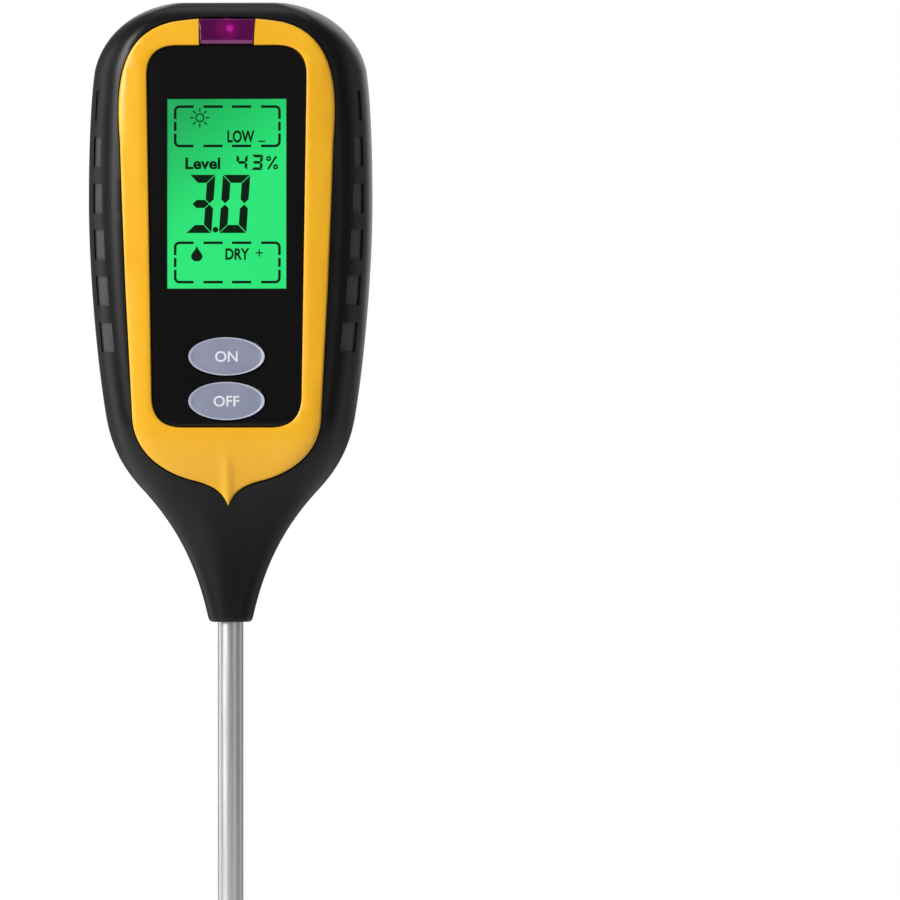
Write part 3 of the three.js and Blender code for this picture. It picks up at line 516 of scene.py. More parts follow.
def plate(name, loops, near, far):
    """A flat plate between two depths, with its outline and its holes as loops."""
    outline = bpy.data.curves.new(name, "CURVE")
    outline.dimensions = "2D"
    outline.fill_mode = "BOTH"
    outline.extrude = (far - near) / 2 * MM
    for loop in loops:
        spline = outline.splines.new("POLY")
        spline.points.add(len(loop) - 1)
        for point, (x, z) in zip(spline.points, loop):
            point.co = (x * MM, z * MM, 0, 1)
        spline.use_cyclic_u = True
    made = bpy.data.objects.new(name, outline)
    bpy.context.collection.objects.link(made)
    select_only(made)
    bpy.ops.object.convert(target="MESH")
    made.rotation_euler = (math.radians(90), 0, 0)
    made.location = (0, (near + far) / 2 * MM, 0)
    bpy.ops.object.transform_apply(location=True, rotation=True, scale=True)
    edit_all(made)
    bpy.ops.mesh.remove_doubles(threshold=0.001 * MM)
    bpy.ops.mesh.normals_make_consistent(inside=False)
    bpy.ops.mesh.dissolve_limited(angle_limit=math.radians(0.5))
    bpy.ops.object.mode_set(mode="OBJECT")
    return made


def bevel_where(piece, test, width, segments):
    """Bevels the hard edges whose two ends pass a test on (x, y, z) in millimetres."""
    edit_all(piece)
    bpy.ops.mesh.select_mode(type="EDGE")
    bpy.ops.mesh.select_all(action="DESELECT")
    bpy.ops.object.mode_set(mode="OBJECT")
    places = [tuple(c / MM for c in vertex.co) for vertex in piece.data.vertices]
    faces_at = {}
    for polygon in piece.data.polygons:
        for key in polygon.edge_keys:
            faces_at.setdefault(key, []).append(polygon.normal)
    for edge in piece.data.edges:
        normals = faces_at.get(tuple(sorted(edge.vertices)), [])
        hard = len(normals) == 2 and normals[0].angle(normals[1], 0) > math.radians(50)
        edge.select = hard and all(test(*places[index]) for index in edge.vertices)
    bpy.ops.object.mode_set(mode="EDIT")
    bpy.ops.mesh.bevel(offset=width * MM, offset_type="OFFSET", segments=segments, affect="EDGES",
                       clamp_overlap=False)
    bpy.ops.mesh.select_mode(type="VERT")
    bpy.ops.object.mode_set(mode="OBJECT")


def bend_to_skin(piece, pitch=2.0, fine=0.0):
    """Cuts a flat plate into small fields where the face is curved and lays it on the skin."""
    lows = [min(vertex.co[axis] for vertex in piece.data.vertices) / MM for axis in range(3)]
    highs = [max(vertex.co[axis] for vertex in piece.data.vertices) / MM for axis in range(3)]
    cuts = [((0, 0, 1), z) for z in range(int(lows[2]) + 1, int(highs[2]) + 1)
            if z <= 46 or z >= 124 or z % 6 == 0]
    cuts += [((1, 0, 0), lows[0] + pitch * step)
             for step in range(1, math.ceil((highs[0] - lows[0]) / pitch))]
    cuts += [((1, 0, 0), x * 0.4) for x in range(int(-fine / 0.4), int(fine / 0.4) + 1) if fine]
    for normal, place in cuts:
        edit_all(piece)
        bpy.ops.mesh.bisect(plane_co=[part * place * MM for part in normal], plane_no=normal)
        bpy.ops.object.mode_set(mode="OBJECT")
    for vertex in piece.data.vertices:
        vertex.co.y += FRONT_DEPTH - front_skin(vertex.co.x, vertex.co.z)


# Spark-eroded black ABS: a fine even grain with a satin sheen.
def moulded_black(name, roughness, grain, deep):
    finish = Finish(name, (0.005, 0.005, 0.0053), roughness, Specular_IOR_Level=0.27)
    finish.vary((0.0044, 0.0044, 0.0047), (0.0056, 0.0056, 0.006), 90)
    fine = finish.noise(grain, 3)
    finish.set("Roughness", roughness - 0.05 + 0.1 * fine)
    finish.bump(fine, deep)
    return finish


front_black = moulded_black("front_satin_black", 0.36, 3000, 0.012 * MM)
rear_black = moulded_black("rear_textured_black", 0.42, 2200, 0.03 * MM)

BUTTON_Z = [(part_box(name)[0][2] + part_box(name)[1][2]) / 2 / MM for name in ("button_on", "button_off")]
BUTTON_HALF, BUTTON_TALL, RUN = 8.3, 4.15, 0.35
SEAT_DEEP, FIT = 1.2, 0.22
FACE = -FRONT_DEPTH / MM
GRIP_TOP, GRIP_PITCH, GRIP_TALL, GRIP_COUNT = 112.6, 10.1, 6.5, 6
GRIP_NARROW, GRIP_WIDE, GRIP_EDGE, GRIP_DEEP = 0.6, 3.0, 1.5, 1.0

outer_skin = wrapped_skin("outer_skin")
inner_skin = wrapped_skin("inner_skin", WALL, 28 * MM, HEAD_HEIGHT - WALL)

front = copy_of(outer_skin, "front_shell")
keep_side(front, -PART_LINE / 2, True)
# A lip inside the wall all but closes the seam, so that no light shows through it.
LIP_OUT, LIP_END, LIP_ROOT = 1.2 * MM, 0.1 * MM, 0.8 * MM
lip = wrapped_skin("lip", LIP_OUT, LIP_OUT, HEAD_HEIGHT - LIP_OUT)
keep_side(lip, LIP_END, True)
keep_side(lip, -LIP_ROOT, False)
combine(front, lip, "UNION")
combine(front, copy_of(inner_skin, "hollow"))

SCREWS = [("top", 22.5, 126.3), ("middle", 26.4, 87.9), ("neck", 11.6, 30.5)]
SCREW_PLACES = [(f"{level}_{side}", sign * x, z)
                for level, x, z in SCREWS for side, sign in (("left", -1), ("right", 1))]
BOARD_SCREW_PLACES = [(sign * 16.6, z) for z in (122, 63.7) for sign in (-1, 1)]
PIN_X, PIN_Z = 6.9, 21.1
NECK_SOLID = 28

SEAM = PART_LINE / 2 / MM
BOSS_R, POST_R, POST_END, PILOT_R, POST_HOLE_R = 3, 1.8, -6.6, 1.5, 1
posts = [rod("boss", x, z, BOSS_R, -30, -SEAM) for _, x, z in SCREW_PLACES]
posts += [rod("post", x, z, POST_R, -30, POST_END) for x, z in BOARD_SCREW_PLACES]
posts = joined(posts, "posts")
combine(posts, copy_of(outer_skin, "trim_to_skin"), "INTERSECT")
combine(front, posts, "UNION")

seat = plate("ring_seat", [ring_loop(FIT)], FACE - 6, FACE + SEAT_DEEP)
bend_to_skin(seat)
combine(front, seat)

panel_pocket = rounded_loop(PANEL_HALF + 0.3, PANEL_LOW - 0.3, PANEL_HIGH + 0.3, PANEL_CORNER,
                            PANEL_TAPER)
combine(front, plate("panel_pocket", [panel_pocket], FACE - 6, FACE + 1.4))

glass_low, glass_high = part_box("lcd_glass")
glass = [[corner / MM for corner in glass_low], [corner / MM for corner in glass_high]]
openings = [block("display_hole", (glass[0][0] - 0.3, FACE - 5, glass[0][2] - 0.3),
                  (glass[1][0] + 0.3, -9, glass[1][2] + 0.3))]
openings += [plate("button_hole", [oval_loop(z, BUTTON_HALF + RUN, BUTTON_TALL + RUN)], FACE - 5, -9)
             for z in BUTTON_Z]
sensor_low, sensor_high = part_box("light_sensor")
SENSOR_Z = (sensor_low[2] + sensor_high[2]) / 2 / MM
SENSOR_HOLE_R = 2.75
openings.append(rod("sensor_hole", 0, SENSOR_Z, SENSOR_HOLE_R, FACE - 5, -6))
combine(front, joined(openings, "openings"))


def along_z(name, radius, low, high, sides=48):
    bpy.ops.object.select_all(action="DESELECT")
    bpy.ops.mesh.primitive_cylinder_add(vertices=sides, radius=radius * MM, depth=(high - low) * MM,
                                        location=(0, 0, (low + high) / 2 * MM))
    made = bpy.context.object
    made.name = name
    bpy.ops.object.transform_apply(location=True, rotation=True, scale=True)
    return made


OUT = 60
PIN_HOLE_R, PROBE_HOLE_R, COLLAR_ROOM_R = 1.2, 3.1, 6.5


def neck_holes():
    holes = [rod("pin_hole", sign * PIN_X, PIN_Z, PIN_HOLE_R, -5, OUT) for sign in (-1, 1)]
    return holes + [along_z("probe_hole", PROBE_HOLE_R, -1, NECK_SOLID + 1)]


holes = neck_holes() + [rod("pilot", x, z, PILOT_R, -7.1, OUT) for _, x, z in SCREW_PLACES]
holes += [rod("post_hole", x, z, POST_HOLE_R, -11, OUT) for x, z in BOARD_SCREW_PLACES]
combine(front, joined(holes, "holes"))
combine(front, along_z("collar_room", COLLAR_ROOM_R, NECK_SOLID - 0.5, NECK_SOLID + 6))


def grip_loop(side, index):
    """A pocket that leans with the side of the head."""
    middle = GRIP_TOP - GRIP_PITCH * index
    seen = GRIP_NARROW + (GRIP_WIDE - GRIP_NARROW) * math.sqrt(index / (GRIP_COUNT - 1))
    steps = [middle + GRIP_TALL * (step / 6 - 0.5) for step in range(7)]
    edge = [(size_at(SIDE_CURVE, HALF_WIDTH, z * MM) / MM - GRIP_EDGE, z) for z in steps]
    loop = edge + [(x - seen, z) for x, z in reversed(edge)]
    return [(side * x, z) for x, z in loop]


grips = [plate("grip", [grip_loop(side, index)], -40, -2)
         for side in (-1, 1) for index in range(GRIP_COUNT)]
grips = joined(grips, "grips")
grip_floor = copy_of(outer_skin, "grip_floor")
for vertex in grip_floor.data.vertices:
    vertex.co.y += GRIP_DEEP * MM
combine(grips, grip_floor)
combine(front, grips)

# Painted highlight: the floors of the grip notches get a lighter grey than the shell, standing in for the
# light they catch.
grip_floor_highlight = Finish("grip_floor_painted_highlight", (0.045, 0.045, 0.047), 0.5)
grip_floor_highlight.vary((0.04, 0.04, 0.042), (0.05, 0.05, 0.052), 400)
paint(front, front_black)
front.data.materials.append(grip_floor_highlight.material)
# The forward-facing floor faces of the notches take the painted highlight.
grip_rows = [GRIP_TOP - GRIP_PITCH * index for index in range(GRIP_COUNT)]
for polygon in front.data.polygons:
    x, y, z = polygon.center
    half = size_at(SIDE_CURVE, HALF_WIDTH, z) / MM
    in_row = any(abs(z / MM - row) < GRIP_TALL / 2 - 0.05 for row in grip_rows)
    beside = half - GRIP_EDGE - GRIP_WIDE - 0.3 < abs(x) / MM < half - GRIP_EDGE + 0.1
    if in_row and beside and front_skin(x, z) + y > 0.5 * MM and polygon.normal.y < -0.15:
        polygon.material_index = 1
settle(front, "meter", "front_housing")

# ---------------------------------------------------------------- rear housing
# The rear half shell, black ABS with a fine spark texture. It holds the battery bay under the
# door, the recess of the mode slider, the latch's recess, six screw wells and the air vent.

RECESS_HALF = 11.3
RECESS_LOW, RECESS_HIGH = 118.9, 131.6
RECESS_FLOOR = 16.5
KNOB_X, KNOB_Z, KNOB_TRAVEL = 1.4, 124.35, 3.2
BAY_HALF, BAY_LOW, BAY_HIGH, BAY_WALL = 15.45, 56.9, 113, 1.6
door_low, door_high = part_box("battery_door")
DOOR_HALF = door_high[0] / MM
DOOR_LOW = door_low[2] / MM
DOOR_HIGH = 115.6
DOOR_BOW = 0.8
DOOR_INNER = 20
LATCH_HALF, LATCH_LOW, LATCH_SIDE = 5.3, 42, 0.85
LATCH_FLOOR = 18.4
BACK = BACK_DEPTH / MM
WELL_R, WELL_FLOOR, WELL_WALL = 2.55, 3.2, 1.05
VENT_SIDES, VENT_TOP_SLOT, VENT_TALL, VENT_PITCH = (-28.1, -23.3), 83.1, 0.8, 2.57
FLOOR_THICK = 2.3


def tongue_loop(half, low, high):
    """Straight sides and a round lower end."""
    steps = 16
    bend = half * 0.7
    right = [(half, high)]
    for step in range(steps + 1):
        t = step / steps
        s = 1 - t
        right.append(((s * s + 2 * s * t) * half, s * s * (low + bend) + (2 * s * t + t * t) * low))
    return right + [(-x, z) for x, z in reversed(right[:-1])]


rear = outer_skin
rear.name = "rear_shell"
trim = copy_of(outer_skin, "trim_to_skin")
keep_side(trim, PART_LINE / 2, False)
keep_side(rear, PART_LINE / 2, False)
combine(rear, inner_skin)

wall_x = BAY_HALF + BAY_WALL
added = [block("bay", (-wall_x, SEAM, BAY_LOW - BAY_WALL), (wall_x, DOOR_INNER - 0.3, BAY_HIGH + BAY_WALL))]
added.append(block("recess_floor", (-RECESS_HALF - 2, RECESS_FLOOR - FLOOR_THICK, RECESS_LOW - 2),
                   (RECESS_HALF + 2, OUT, RECESS_HIGH + 2)))
added += [rod("boss", x, z, WELL_R + WELL_WALL, SEAM, OUT) for _, x, z in SCREW_PLACES]
added = joined(added, "added")
combine(added, copy_of(trim, "trim_added"), "INTERSECT")
combine(rear, added, "UNION")
pad_half = LATCH_HALF + LATCH_SIDE + 1.6
pads = [block("latch_pad", (-pad_half, LATCH_FLOOR - 1.6, 39.55), (pad_half, OUT, 55.9))]
pads += [rod("stake", x, KNOB_Z + 2, 1.2, 6.4, 15.2, 24) for x in (-8, 8)]
pads = joined(pads, "pads")
combine(pads, trim, "INTERSECT")
combine(rear, pads, "UNION")

rooms = [block("bay_room", (-BAY_HALF, 1.7, BAY_LOW), (BAY_HALF, OUT, BAY_HIGH))]
rooms.append(plate("recess", [rounded_loop(RECESS_HALF, RECESS_LOW, RECESS_HIGH, 0.8, bow=0.5)],
                   RECESS_FLOOR, OUT))
rooms += [rod("well", x, z, WELL_R, WELL_FLOOR, OUT) for _, x, z in SCREW_PLACES]
for index in range(4):
    z = VENT_TOP_SLOT - VENT_PITCH * index
    rooms.append(block("vent", (VENT_SIDES[0], 8, z), (VENT_SIDES[1], OUT, z + VENT_TALL)))
combine(rear, joined(rooms, "rooms"))
combine(rear, plate("latch_room", [tongue_loop(LATCH_HALF + LATCH_SIDE, LATCH_LOW - LATCH_SIDE, 54.9)],
                    LATCH_FLOOR, OUT))
combine(rear, plate("door_hole", [rounded_loop(DOOR_HALF + RUN, DOOR_LOW - RUN, DOOR_HIGH + RUN, 1,
                                                 bow=DOOR_BOW)],
                    DOOR_INNER - 0.3, OUT))

HOOK_X, HOOK_HALF = 11.5, 2.5
holes = neck_holes() + [rod("shank_hole", x, z, PILOT_R, -1, OUT) for _, x, z in SCREW_PLACES]
holes += [block("hook_room", (x - HOOK_HALF - RUN, 14.5, DOOR_HIGH - 4),
                (x + HOOK_HALF + RUN, 19.8, DOOR_HIGH + 3)) for x in (-HOOK_X, HOOK_X)]
holes.append(block("slider_slot", (KNOB_X - KNOB_TRAVEL - 2 - RUN, 13, KNOB_Z - 1.5 - RUN),
                   (KNOB_X + 2 + RUN, OUT, KNOB_Z + 1.5 + RUN)))
holes.append(rod("lead_hole", -9, 111.7, 1.9, -1, 2.7))
combine(rear, joined(holes, "holes"))
combine(rear, along_z("collar_room", COLLAR_ROOM_R, NECK_SOLID - 0.5, NECK_SOLID + 6))
paint(rear, rear_black)
settle(rear, "meter", "rear_housing")

# ---------------------------------------------------------------- trim ring
# A yellow ABS moulding pressed into its seat round the panel. Its edges are rounded, its face falls
# away outward, and a soft ridge runs up from the pointed tip.

PROUD = 0.8
RING_BACK = 0.9


def srgb(red, green, blue):
    parts = [part / 255 for part in (red, green, blue)]
    return tuple(p / 12.92 if p <= 0.04045 else ((p + 0.055) / 1.055) ** 2.4 for p in parts)


ring_hole = rounded_loop(PANEL_HALF + 0.25, PANEL_LOW - 0.25, PANEL_HIGH + 0.25, PANEL_CORNER + 0.2,
                         PANEL_TAPER)
ring = plate("ring_moulding", [ring_loop(0), ring_hole], FACE - PROUD, FACE + RING_BACK)


def on_hole(x, y, z):
    return y < FACE and any(math.hypot(x - a, z - b) < 0.01 for a, b in ring_hole)


def on_rim(x, y, z):
    return y < FACE and not on_hole(x, y, z)


bevel_where(ring, on_rim, 0.45, 3)
bevel_where(ring, on_hole, 0.4, 2)
notch = [(-6.0, PANEL_HIGH - 2), (6.0, PANEL_HIGH - 2), (6.0, PANEL_HIGH + 0.5),
         (6.35, RING_HIGH + 5), (-6.35, RING_HIGH + 5), (-6.0, PANEL_HIGH + 0.5)]
combine(ring, plate("notch", [notch], -30, 0))
bend_to_skin(ring, fine=2.4)
RING_FALL = 0.55
for vertex in ring.data.vertices:
    x, z = vertex.co.x / MM, vertex.co.z / MM
    on_face = vertex.co.y + front_skin(vertex.co.x, vertex.co.z) < -0.2 * MM
    beside = (abs(x) - PANEL_HALF - 0.9) / (RING_BAND - 0.9)
    above = (z - PANEL_HIGH - 0.9) / (RING_BAND - 0.9)
    below = (PANEL_LOW - 0.9 - z) / 25
    if on_face:
        vertex.co.y += RING_FALL * min(max(beside, above, below, 0), 1) * MM
    if z < 38 and vertex.co.y + FRONT_DEPTH < (FRONT_DEPTH - front_skin(vertex.co.x, vertex.co.z)):
        rise = 0.45 * math.exp(-(x / 1.1) ** 2) * min(1, (38 - z) / 7) * min(1, (z - RING_TIP) / 1.5)
        vertex.co.y -= rise * MM
yellow = Finish("yellow_moulding", srgb(252, 186, 30), 0.34, Coat_Weight=0.2, Coat_Roughness=0.15)
yellow.vary(srgb(251, 183, 27), srgb(254, 190, 34), 60)
yellow.bump(yellow.noise(1500, 2), 0.004 * MM)
paint(ring, yellow)
settle(ring, "meter", "trim_ring")

# ---------------------------------------------------------------- light sensor's window
# A small dark violet acrylic window, moulded with a bevelled lower edge and pressed into the gap
# at the top of the ring. It is given a faint painted glow, and its lower bevel a paler violet as a
# painted highlight. The light sensor's lens shows through it as a magenta dome with a painted glow
# and a painted glint.

WINDOW_LOW, WINDOW_HIGH = 125.9, 131.3
window_outline = [(-5.65, WINDOW_LOW), (5.65, WINDOW_LOW), (6.05, WINDOW_HIGH), (-6.05, WINDOW_HIGH)]
window = plate("window_moulding", [window_outline], FACE - PROUD, FACE + RING_BACK)
bevel_where(window, lambda x, y, z: y < FACE and z < WINDOW_LOW + 0.1, 0.75, 1)
bevel_where(window, lambda x, y, z: y < FACE and z > WINDOW_LOW + 0.1, 0.25, 2)
bend_to_skin(window, pitch=1.0)
violet = Finish("violet_acrylic_painted_glow", srgb(150, 40, 130), 0.08, Transmission_Weight=0.9, IOR=1.3)
violet.vary(srgb(145, 36, 124), srgb(158, 46, 138), 200)
# Painted glow: a faint violet emission makes the window glow, though nothing lights it from behind.
violet.set("Emission Color", (*srgb(92, 6, 80), 1))
violet.set("Emission Strength", 0.3)
# Painted highlight: the downward-facing bevel of the lower edge gets a paler violet, standing in for the
# light it catches.
violet_edge_highlight = Finish("violet_edge_painted_highlight", srgb(140, 60, 120), 0.2)
violet_edge_highlight.vary(srgb(135, 56, 115), srgb(146, 64, 126), 200)
paint(window, violet)
window.data.materials.append(violet_edge_highlight.material)
for polygon in window.data.polygons:
    if polygon.normal.z < -0.4 and polygon.normal.y < -0.3:
        polygon.material_index = 1
settle(window, "meter", "sensor_window")

# Painted glow and painted glint: the sensor's lens glows magenta, and a pale spot of emission near the
# front of its dome stands in for a highlight.
magenta = Finish("magenta_lens_painted_glow", srgb(205, 60, 165), 0.12, Coat_Weight=0.6)
magenta.vary(srgb(190, 50, 150), srgb(220, 75, 180), 500)
painted_glint = magenta.node("ShaderNodeVectorMath", {"operation": "DISTANCE"},
                     {0: magenta.place, 1: (0.6 * MM, sensor_low[1], (SENSOR_Z + 0.1) * MM)}, output=1)
magenta.set("Emission Color", magenta.node("ShaderNodeValToRGB", {"stops": [
    (0.25, srgb(255, 190, 250)), (0.32, srgb(190, 60, 165)), (0.42, srgb(140, 20, 115)),
    (0.6, srgb(90, 8, 76))]}, {0: painted_glint * 420}))
magenta.set("Emission Strength", 1.3)
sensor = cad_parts["light_sensor"]
paint(sensor, magenta)

# ---------------------------------------------------------------- face panel
# A sheet of gloss black acrylic laid flush with the face, with a window for the display and two
# oval holes for the buttons.

VIEW_HALF, VIEW_TALL = 12.95, 20.6
VIEW_Z = 93.25


def rectangle(half, tall, z):
    return [(-half, z - tall), (half, z - tall), (half, z + tall), (-half, z + tall)]


panel_edge = rounded_loop(PANEL_HALF, PANEL_LOW, PANEL_HIGH, PANEL_CORNER, PANEL_TAPER)
panel_holes = [oval_loop(z, BUTTON_HALF + RUN, BUTTON_TALL + RUN) for z in BUTTON_Z]
panel = plate("panel_sheet", [panel_edge, rectangle(VIEW_HALF, VIEW_TALL, VIEW_Z), *panel_holes],
              FACE, FACE + 1.1)
bevel_where(panel, lambda x, y, z: y < FACE + 0.01, 0.12, 2)
gloss = Finish("gloss_black_acrylic", (0.002, 0.002, 0.002), 0.12, Specular_IOR_Level=0.4)
gloss.vary((0.0016, 0.0016, 0.0016), (0.0024, 0.0024, 0.0024), 50)
paint(panel, gloss)
settle(panel, "meter", "face_panel")

# ---------------------------------------------------------------- display
# A backlit liquid-crystal cell behind a stepped clear lens. The lens shows green through the
# panel's window, and the dark symbols are laid on it as a printed film.


def select_faces(piece, test):
    """Opens a piece in edit mode with the faces selected whose centre and normal pass the test."""
    edit_all(piece)
    bpy.ops.mesh.select_mode(type="FACE")
    bpy.ops.mesh.select_all(action="DESELECT")
    bpy.ops.object.mode_set(mode="OBJECT")
    for polygon in piece.data.polygons:
        polygon.select = test(polygon.center / MM, polygon.normal)
    bpy.ops.object.mode_set(mode="EDIT")


LENS_FRONT = FACE + 0.25
glass_piece = block("display_glass", *glass)
select_faces(glass_piece, lambda centre, normal: normal.y < -0.9)
bpy.ops.mesh.inset(thickness=1.85 * MM)
bpy.ops.mesh.extrude_region_move(
    TRANSFORM_OT_translate={"value": (0, (LENS_FRONT - glass[0][1]) * MM, 0)})
bpy.ops.transform.resize(value=(1, 1, 2 * (VIEW_TALL - 0.1) / (glass[1][2] - glass[0][2] - 3.7)),
                         center_override=(0, 0, VIEW_Z * MM))
bpy.ops.mesh.select_mode(type="VERT")
bpy.ops.object.mode_set(mode="OBJECT")
bevel_where(glass_piece, lambda x, y, z: y < LENS_FRONT + 0.01, 0.3, 2)

lit = Finish("lit_green_lens", srgb(8, 60, 30), 0.25, Specular_IOR_Level=0.3)
across = lit.node("ShaderNodeSeparateXYZ", None, {0: lit.place}, output=0)
upward = lit.node("ShaderNodeSeparateXYZ", None, {0: lit.place}, output=2)
glow_from = (across * -22 + upward * 26) - VIEW_Z * MM * 26 + lit.noise(30, 1) * 0.15
glow = lit.node("ShaderNodeValToRGB", {"stops": [
    (0.0, srgb(46, 238, 126)), (0.2, srgb(40, 226, 116)), (0.75, srgb(22, 172, 88))]}, {0: glow_from})
lit.set("Emission Color", glow)
lit.set("Emission Strength", 0.88)
paint(glass_piece, lit)
settle(glass_piece, "meter", "lcd_glass")


def ribbon(points, wide):
    """The outline of a stroke of even width along a line of points, mitred at its corners."""
    sides = [[], []]
    for index, (x, z) in enumerate(points):
        before = points[max(index - 1, 0)]
        after = points[min(index + 1, len(points) - 1)]
        turns = []
        for a, b in ((before, (x, z)), ((x, z), after)):
            if a != b:
                length = math.dist(a, b)
                turns.append(((a[1] - b[1]) / length, (b[0] - a[0]) / length))
        nx = sum(turn[0] for turn in turns) / len(turns)
        nz = sum(turn[1] for turn in turns) / len(turns)
        grow = wide / 2 / (nx * nx + nz * nz)
        sides[0].append((x + nx * grow, z + nz * grow))
        sides[1].append((x - nx * grow, z - nz * grow))
    return sides[0] + sides[1][::-1]


def dashed_frame(low, high):
    """Four rounded corner strokes with two dashes along each long side and one along each short."""
    loops = []
    stroke, reach_x, reach_z, bend = 0.56, 4, 2.7, 0.9
    for sx in (-1, 1):
        x = FRAME_X + sx * FRAME_HALF
        for sz, z in ((-1, low), (1, high)):
            arc = [(x - sx * bend * (1 - math.sin(turn)), z - sz * bend * (1 - math.cos(turn)))
                   for turn in (math.radians(15 * step) for step in range(7))]
            loops.append(ribbon([(x - sx * reach_x, z), *arc, (x, z - sz * reach_z)], stroke))
        middle = (low + high) / 2
        loops.append(ribbon([(x, middle - 1), (x, middle + 1)], stroke))
    for z in (low, high):
        for x in (FRAME_X - 3.1, FRAME_X + 3.1):
            loops.append(ribbon([(x - 2.1, z), (x + 2.1, z)], stroke))
    return loops


def digit(sign, x, z, wide, tall, thick, lean, gap):
    """A seven-segment figure; x, z is the lower left corner of its centre lines."""
    high, half = tall / 2, thick / 2
    # Each segment: its start, its direction, its length, and which of its ends are mitred.
    spots = {
        "a": ((wide, tall), (-1, 0), wide, (1, 1)), "b": ((wide, high), (0, 1), high, (0, 1)),
        "c": ((wide, 0), (0, 1), high, (1, 0)), "d": ((0, 0), (1, 0), wide, (1, 1)),
        "e": ((0, high), (0, -1), high, (0, 1)), "f": ((0, tall), (0, -1), high, (1, 0)),
        "g": ((0, high), (1, 0), wide, (0, 0)),
    }
    loops = []
    for segment in SEGMENTS[sign]:
        (ax, az), (ux, uz), length, (mitre_a, mitre_b) = spots[segment]
        outer = [(-half + gap, -half) if mitre_a else (half + gap, -half),
                 (length + half - gap, -half) if mitre_b else (length - half - gap, -half)]
        end = [] if mitre_b else [(length - gap, 0)]
        inner = [(length - half - gap, half), (half + gap, half)]
        start = [] if mitre_a else [(gap, 0)]
        loop = [(ax + ux * along - uz * side, az + uz * along + ux * side)
                for along, side in outer + end + inner + start]
        loops.append([(x + px + lean * pz, z + pz) for px, pz in loop])
    return loops


def lettering(words, x, z, tall, y, left=None, right=None, heavy=0.0):
    """Words as a thin raised print on a base line at z: centred on x, or between two sides."""
    bpy.ops.object.select_all(action="DESELECT")
    bpy.ops.object.text_add()
    text = bpy.context.object
    text.data.body = words
    text.data.extrude = PRINT / 2 * MM
    text.data.offset = heavy
    text.data.resolution_u = 4
    bpy.ops.object.convert(target="MESH")
    text = bpy.context.object
    ends = [edge(vertex.co.x for vertex in text.data.vertices) for edge in (min, max)]
    size = tall / max(vertex.co.y for vertex in text.data.vertices) * MM
    wide = (right - left) / (ends[1] - ends[0]) * MM if right else size
    middle = (left + right) / 2 if right else x
    for vertex in text.data.vertices:
        across = vertex.co.x - sum(ends) / 2
        vertex.co = (middle * MM + across * wide, y * MM + vertex.co.z, z * MM + vertex.co.y * size)
    edit_all(text)
    bpy.ops.mesh.remove_doubles(threshold=0.001 * MM)
    bpy.ops.mesh.normals_make_consistent(inside=False)
    bpy.ops.object.mode_set(mode="OBJECT")
    return text


PRINT = 0.05
PRINT_Y = LENS_FRONT - PRINT / 2
FRAME_X, FRAME_HALF = 0.14, 11.35
SEGMENTS = {"0": "abcdef", "3": "abcdg", "4": "bcfg"}
lines = dashed_frame(103.65, 112.2) + dashed_frame(74.05, 82.6)


def ring_arcs(x, z, radius, stroke):
    """A round outline as two half ribbons that leave hairline gaps."""
    halves = []
    for start in (2, 182):
        turns = [math.radians(start + 176 * step / 12) for step in range(13)]
        halves.append(ribbon([(x + radius * math.cos(turn), z + radius * math.sin(turn))
                              for turn in turns], stroke))
    return halves


SUN_X, SUN_Z, THIN = -5.85, 109.8, 0.28
lines += ring_arcs(SUN_X, SUN_Z, 0.85, THIN)
for ray in range(8):
    turn = math.radians(45 * ray)
    ends = [(SUN_X + r * math.cos(turn), SUN_Z + r * math.sin(turn)) for r in (1.3, 2.1)]
    lines.append(ribbon(ends, THIN))
lines.append(ribbon([(6.85, 104.65), (8.37, 104.65)], THIN))
small = {"wide": 1.85, "tall": 2.75, "thick": 0.6, "lean": 0.06, "gap": 0.05}
lines += digit("4", 2.3, 98.7, **small) + digit("3", 5.6, 98.7, **small)
for x, z in ((9.15, 100.9), (10.65, 99.1)):
    lines += ring_arcs(x, z, 0.38, 0.36)
lines.append(ribbon([(9.0, 98.6), (10.8, 101.4)], 0.42))
large = {"tall": 10.9, "thick": 1.75, "lean": 0.07, "gap": 0.12}
lines += digit("3", -7.95, 85.6, wide=3.8, **large) + digit("0", -0.75, 85.6, wide=4.2, **large)
lines.append([(px - 2.45, pz + 85.45) for px, pz in oval_loop(0, 0.62, 0.62, 24)])
DROP_X, DROP_Z = -6.5, 79.9
drop = sampled([((0, 2), (0.35, 1), (1.25, 0.35), (1.25, -0.25)),
                ((1.25, -0.25), (1.25, -1.7), (-1.25, -1.7), (-1.25, -0.25)),
                ((-1.25, -0.25), (-1.25, 0.35), (-0.35, 1), (0, 2))], 8)
lines.append([(DROP_X + px, DROP_Z + pz) for px, pz in drop])
PLUS_X, PLUS_Z, PLUS_ARM, PLUS_THICK = 7.1, 80.4, 0.8, 0.14
a, b = PLUS_ARM, PLUS_THICK
lines.append([(PLUS_X + px, PLUS_Z + pz) for px, pz in (
    (a, -b), (a, b), (b, b), (b, a), (-b, a), (-b, b), (-a, b), (-a, -b), (-b, -b), (-b, -a), (b, -a),
    (b, -b))])
marks = [plate("display_marks", lines, LENS_FRONT - PRINT, LENS_FRONT)]
marks.append(lettering("LOW", 0, 104.5, 2.55, PRINT_Y, left=0.15, right=6.05, heavy=0.03))
marks.append(lettering("Level", 0, 98.7, 2.45, PRINT_Y, left=-9, right=-1.4, heavy=0.03))
marks.append(lettering("DRY", 0, 79, 2.4, PRINT_Y, left=-0.28, right=4.95, heavy=0.03))
marks = joined(marks, "display_marks")
ink = Finish("crystal_dark", srgb(2, 30, 10), 0.7, Specular_IOR_Level=0.1)
ink.vary(srgb(2, 27, 9), srgb(3, 33, 12), 400)
paint(marks, ink)
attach(marks, "meter")
